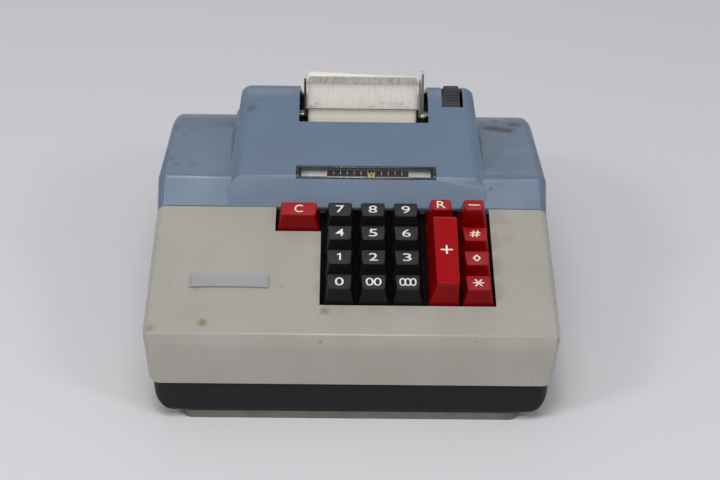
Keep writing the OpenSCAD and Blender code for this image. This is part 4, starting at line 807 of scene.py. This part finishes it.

# %% [markdown]
# ## Tear bar
# A clear acrylic strip holds the paper against the platen, and its upper edge is bent back as a lip to tear against.
# The face and the lip are drawn out separately, because the lip carries a painted shade, and the lip's ends are cut
# slanting.
# Ink and dust have settled along the lower edge, and a row of figures has left specks of ink low on the face.

# %% Tear bar
LEAN, SHEET = math.radians(75), 1.2
low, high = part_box("tear_bar")
bar_x0, bar_x1 = low.x / MM, high.x / MM
along, out = Vector((math.cos(LEAN), math.sin(LEAN))), Vector((-math.sin(LEAN), math.cos(LEAN)))
foot = Vector((low.y / MM - FRONT, low.z / MM + SHEET * math.cos(LEAN)))
bend = foot + 15.2 * along
lip = bend + Vector((4.6, 3.3))
face = [foot, bend, bend - SHEET * out, foot - SHEET * out]
drawn_out("tear_bar_face", [(face, bar_x0, bar_x1)], TEAR, "tear_bar", bevel=0.15, replace=True,
          angle=30)
bent = [bend + 0.3 * along, lip, lip + Vector((0.6, -0.75)), bend - 1.15 * out + Vector((0.6, 0)), bend]
# the lip takes the material with the painted shade
piece = drawn_out("tear_bar_lip", [(bent, bar_x0, bar_x1)], SHADED_LIP, "tear_bar", bevel=0.1, replace=True,
                  angle=30)
SLANT = 2.2 * MM
for v in piece.data.vertices:
    rise = max(0.0, v.co.z / MM - bend.y) / (lip.y - bend.y)
    v.co.x -= math.copysign(SLANT * rise, v.co.x - (bar_x0 + bar_x1) / 2 * MM)
edge = [foot + up * along + off * out for up, off in ((0.1, 0.12), (0.5, 0.12), (0.5, -0.2), (0.1, -0.2))]
drawn_out("tear_bar_inked_edge", [(edge, bar_x0 + 0.3, bar_x1 - 0.3)], GRIME, "tear_bar", bevel=0)

SPECKS, given = new_tree("ink_specks", {"Count": "NodeSocketInt", "Pitch": "NodeSocketVector",
                         "First": "NodeSocketVector", "Spread": "NodeSocketVector", "Finish": "NodeSocketMaterial"})
row = add(SPECKS, "GeometryNodeMeshLine",
          {"Count": given["Count"], "Start Location": given["First"], "Offset": given["Pitch"]})
astray = add(SPECKS, "FunctionNodeRandomValue", {1: given["Spread"], "Seed": 5}, data_type="FLOAT_VECTOR")
strewn = add(SPECKS, "GeometryNodeSetPosition", {"Geometry": row, "Offset": astray})
speck = add(SPECKS, "GeometryNodeMeshUVSphere", {"Segments": 8, "Rings": 5, "Radius": 0.4 * MM})
sizes = add(SPECKS, "FunctionNodeRandomValue", {2: 0.4, 3: 1.3, "Seed": 9}, data_type="FLOAT")
specks = add(SPECKS, "GeometryNodeInstanceOnPoints", {"Points": strewn, "Instance": speck,
             "Scale": sizes.outputs[1]})
end_tree(SPECKS, specks, given)
for number, (first, pitch, count, spread) in enumerate(((36, 1.35, 20, 4.0), (2, 0.5, 10, 3.0))):
    mesh = baked(SPECKS, {"Count": count, "Pitch": Vector((pitch, 0, 0)) * MM, "Finish": STAIN,
                          "First": Vector((bar_x0 + first, 1, 0)) * MM, "Spread": Vector((1.0, spread, 0)) * MM})
    mesh.transform(Matrix.Translation(in_machine(0, foot)) @ Matrix.Rotation(LEAN, 4, "X")
                   @ Matrix.Diagonal((1, 1, 0.12, 1)))
    finish_mesh(f"tear_bar_specks_{number + 1}", mesh, STAIN, BODY_OF["tear_bar"])
print("tear bar from", [round(v, 1) for v in foot], "to its lip at", [round(v, 1) for v in lip])

# %% [markdown]
# ## Paper strip
# The strip leaves the roll, runs under and round the platen, and rises behind the tear bar, where it curls back over
# itself as paper off a roll does. Its torn end runs askew. The path is made of arcs joined by straights, and the last
# arc ends earlier towards the right.

# %% Paper strip
low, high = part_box("paper_strip")
ROLL_RADIUS, WRAP_RADIUS, CURL_RADIUS = 22.525, 14.525, 8
OFF_PLATEN, STRAIGHT, COLUMNS = 165, 20, 40

def arc(centre, radius, start, end, count):
    angles = [math.radians(start + (end - start) * i / count) for i in range(count + 1)]
    return [centre + radius * Vector((math.cos(angle), math.sin(angle))) for angle in angles]

away = PLATEN - ROLL
off_roll = math.degrees(math.atan2(away.y, away.x) - math.acos((WRAP_RADIUS + ROLL_RADIUS) / away.length))
risen = arc(PLATEN, WRAP_RADIUS, OFF_PLATEN, OFF_PLATEN, 1)[0]
curl = risen + STRAIGHT * along + CURL_RADIUS * Vector((math.sin(LEAN), -math.cos(LEAN)))
rows = []
for c in range(COLUMNS + 1):
    share = c / COLUMNS
    end = 112 - 62 * math.exp(-3 * share) + 1.5 * math.sin(9 * share) * share
    wave = 0.12 * math.sin(5.2 * share + 0.6)
    path = arc(ROLL, ROLL_RADIUS, off_roll - 30, off_roll, 8)
    path += arc(PLATEN, WRAP_RADIUS, off_roll + 180, OFF_PLATEN, 30)
    path += [q + wave * i / 15 * Vector((-1, 0)) for i, q in enumerate(arc(curl, CURL_RADIUS, OFF_PLATEN, end, 14))]
    rows.append([in_machine((low.x + (high.x - low.x) * share) / MM, q) for q in path])
length = len(rows[0])
mesh = bpy.data.meshes.new("paper_strip_curled")
mesh.from_pydata([v for row in rows for v in row], [],
                 [(c * length + i, (c + 1) * length + i, (c + 1) * length + i + 1, c * length + i + 1)
                  for c in range(COLUMNS) for i in range(length - 1)])
piece = finish_mesh("paper_strip_curled", mesh, PAPER, BODY_OF["paper_strip"], angle=80)
thickness = piece.modifiers.new("thickness", "SOLIDIFY")
thickness.thickness, thickness.offset = 0.2 * MM, 0.0
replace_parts(piece, "paper_strip")
print("paper strip:", len(mesh.polygons), "faces, curl about", [round(v, 1) for v in curl])

# %% [markdown]
# ## Stage and light
# The machine stands on a plain pale floor between two broad soft lights, one in front and one behind, both well above
# it. The flat tops catch both lights, so they are paler than the sloping face between them, and the upright faces are
# the darkest. A small ceiling lamp draws the bright lines along the creases and the rims of the keys. Two small weak
# windows, left and right, do the same down the rounded corners, and a pale world fills the shadows.

# %% Floor and lamps
def lamp(name, at, aim, size, power):
    data = bpy.data.lights.new(name, "AREA")
    data.shape, data.size, data.energy = "SQUARE", size, power
    obj = bpy.data.objects.new(name, data)
    obj.location = at
    obj.rotation_mode = "QUATERNION"
    obj.rotation_quaternion = (Vector(aim) - Vector(at)).to_track_quat("-Z", "Y")
    bpy.context.collection.objects.link(obj)

lamp("front_softbox", (-0.1, -0.93, 1.86), (0, 0, 0.05), 1.2, 13)
lamp("ceiling_lamp", (-0.15, -0.7, 2.0), (0, 0, 0.05), 0.3, 5.5)
lamp("back_softbox", (-0.2, 1.8, 1.5), (0, 0, 0.05), 1.6, 5)
lamp("left_window", (-1.3, -1.0, 1.3), (0, 0, 0.1), 0.4, 8)
lamp("right_window", (1.3, -1.1, 1.3), (0, 0, 0.1), 0.4, 6)
world = bpy.data.worlds.new("pale_room")
world.use_nodes = True
background = world.node_tree.nodes["Background"].inputs
background["Color"].default_value, background["Strength"].default_value = linear("#e8eaee"), 0.37
bpy.context.scene.world = world

floor_mesh = bpy.data.meshes.new("floor")
floor_mesh.from_pydata([(-4, -3, 0), (4, -3, 0), (4, 5, 0), (-4, 5, 0)], [], [(0, 1, 2, 3)])
floor = bpy.data.objects.new("floor", floor_mesh)
bpy.context.collection.objects.link(floor)
FLOOR, tree, surface, place = new_material("Painted_board_pale", Roughness=0.9)
surface.inputs["Base Color"].default_value = linear("#d8d7da")
floor_mesh.materials.append(FLOOR)
bpy.context.scene.view_settings.view_transform = "Standard"
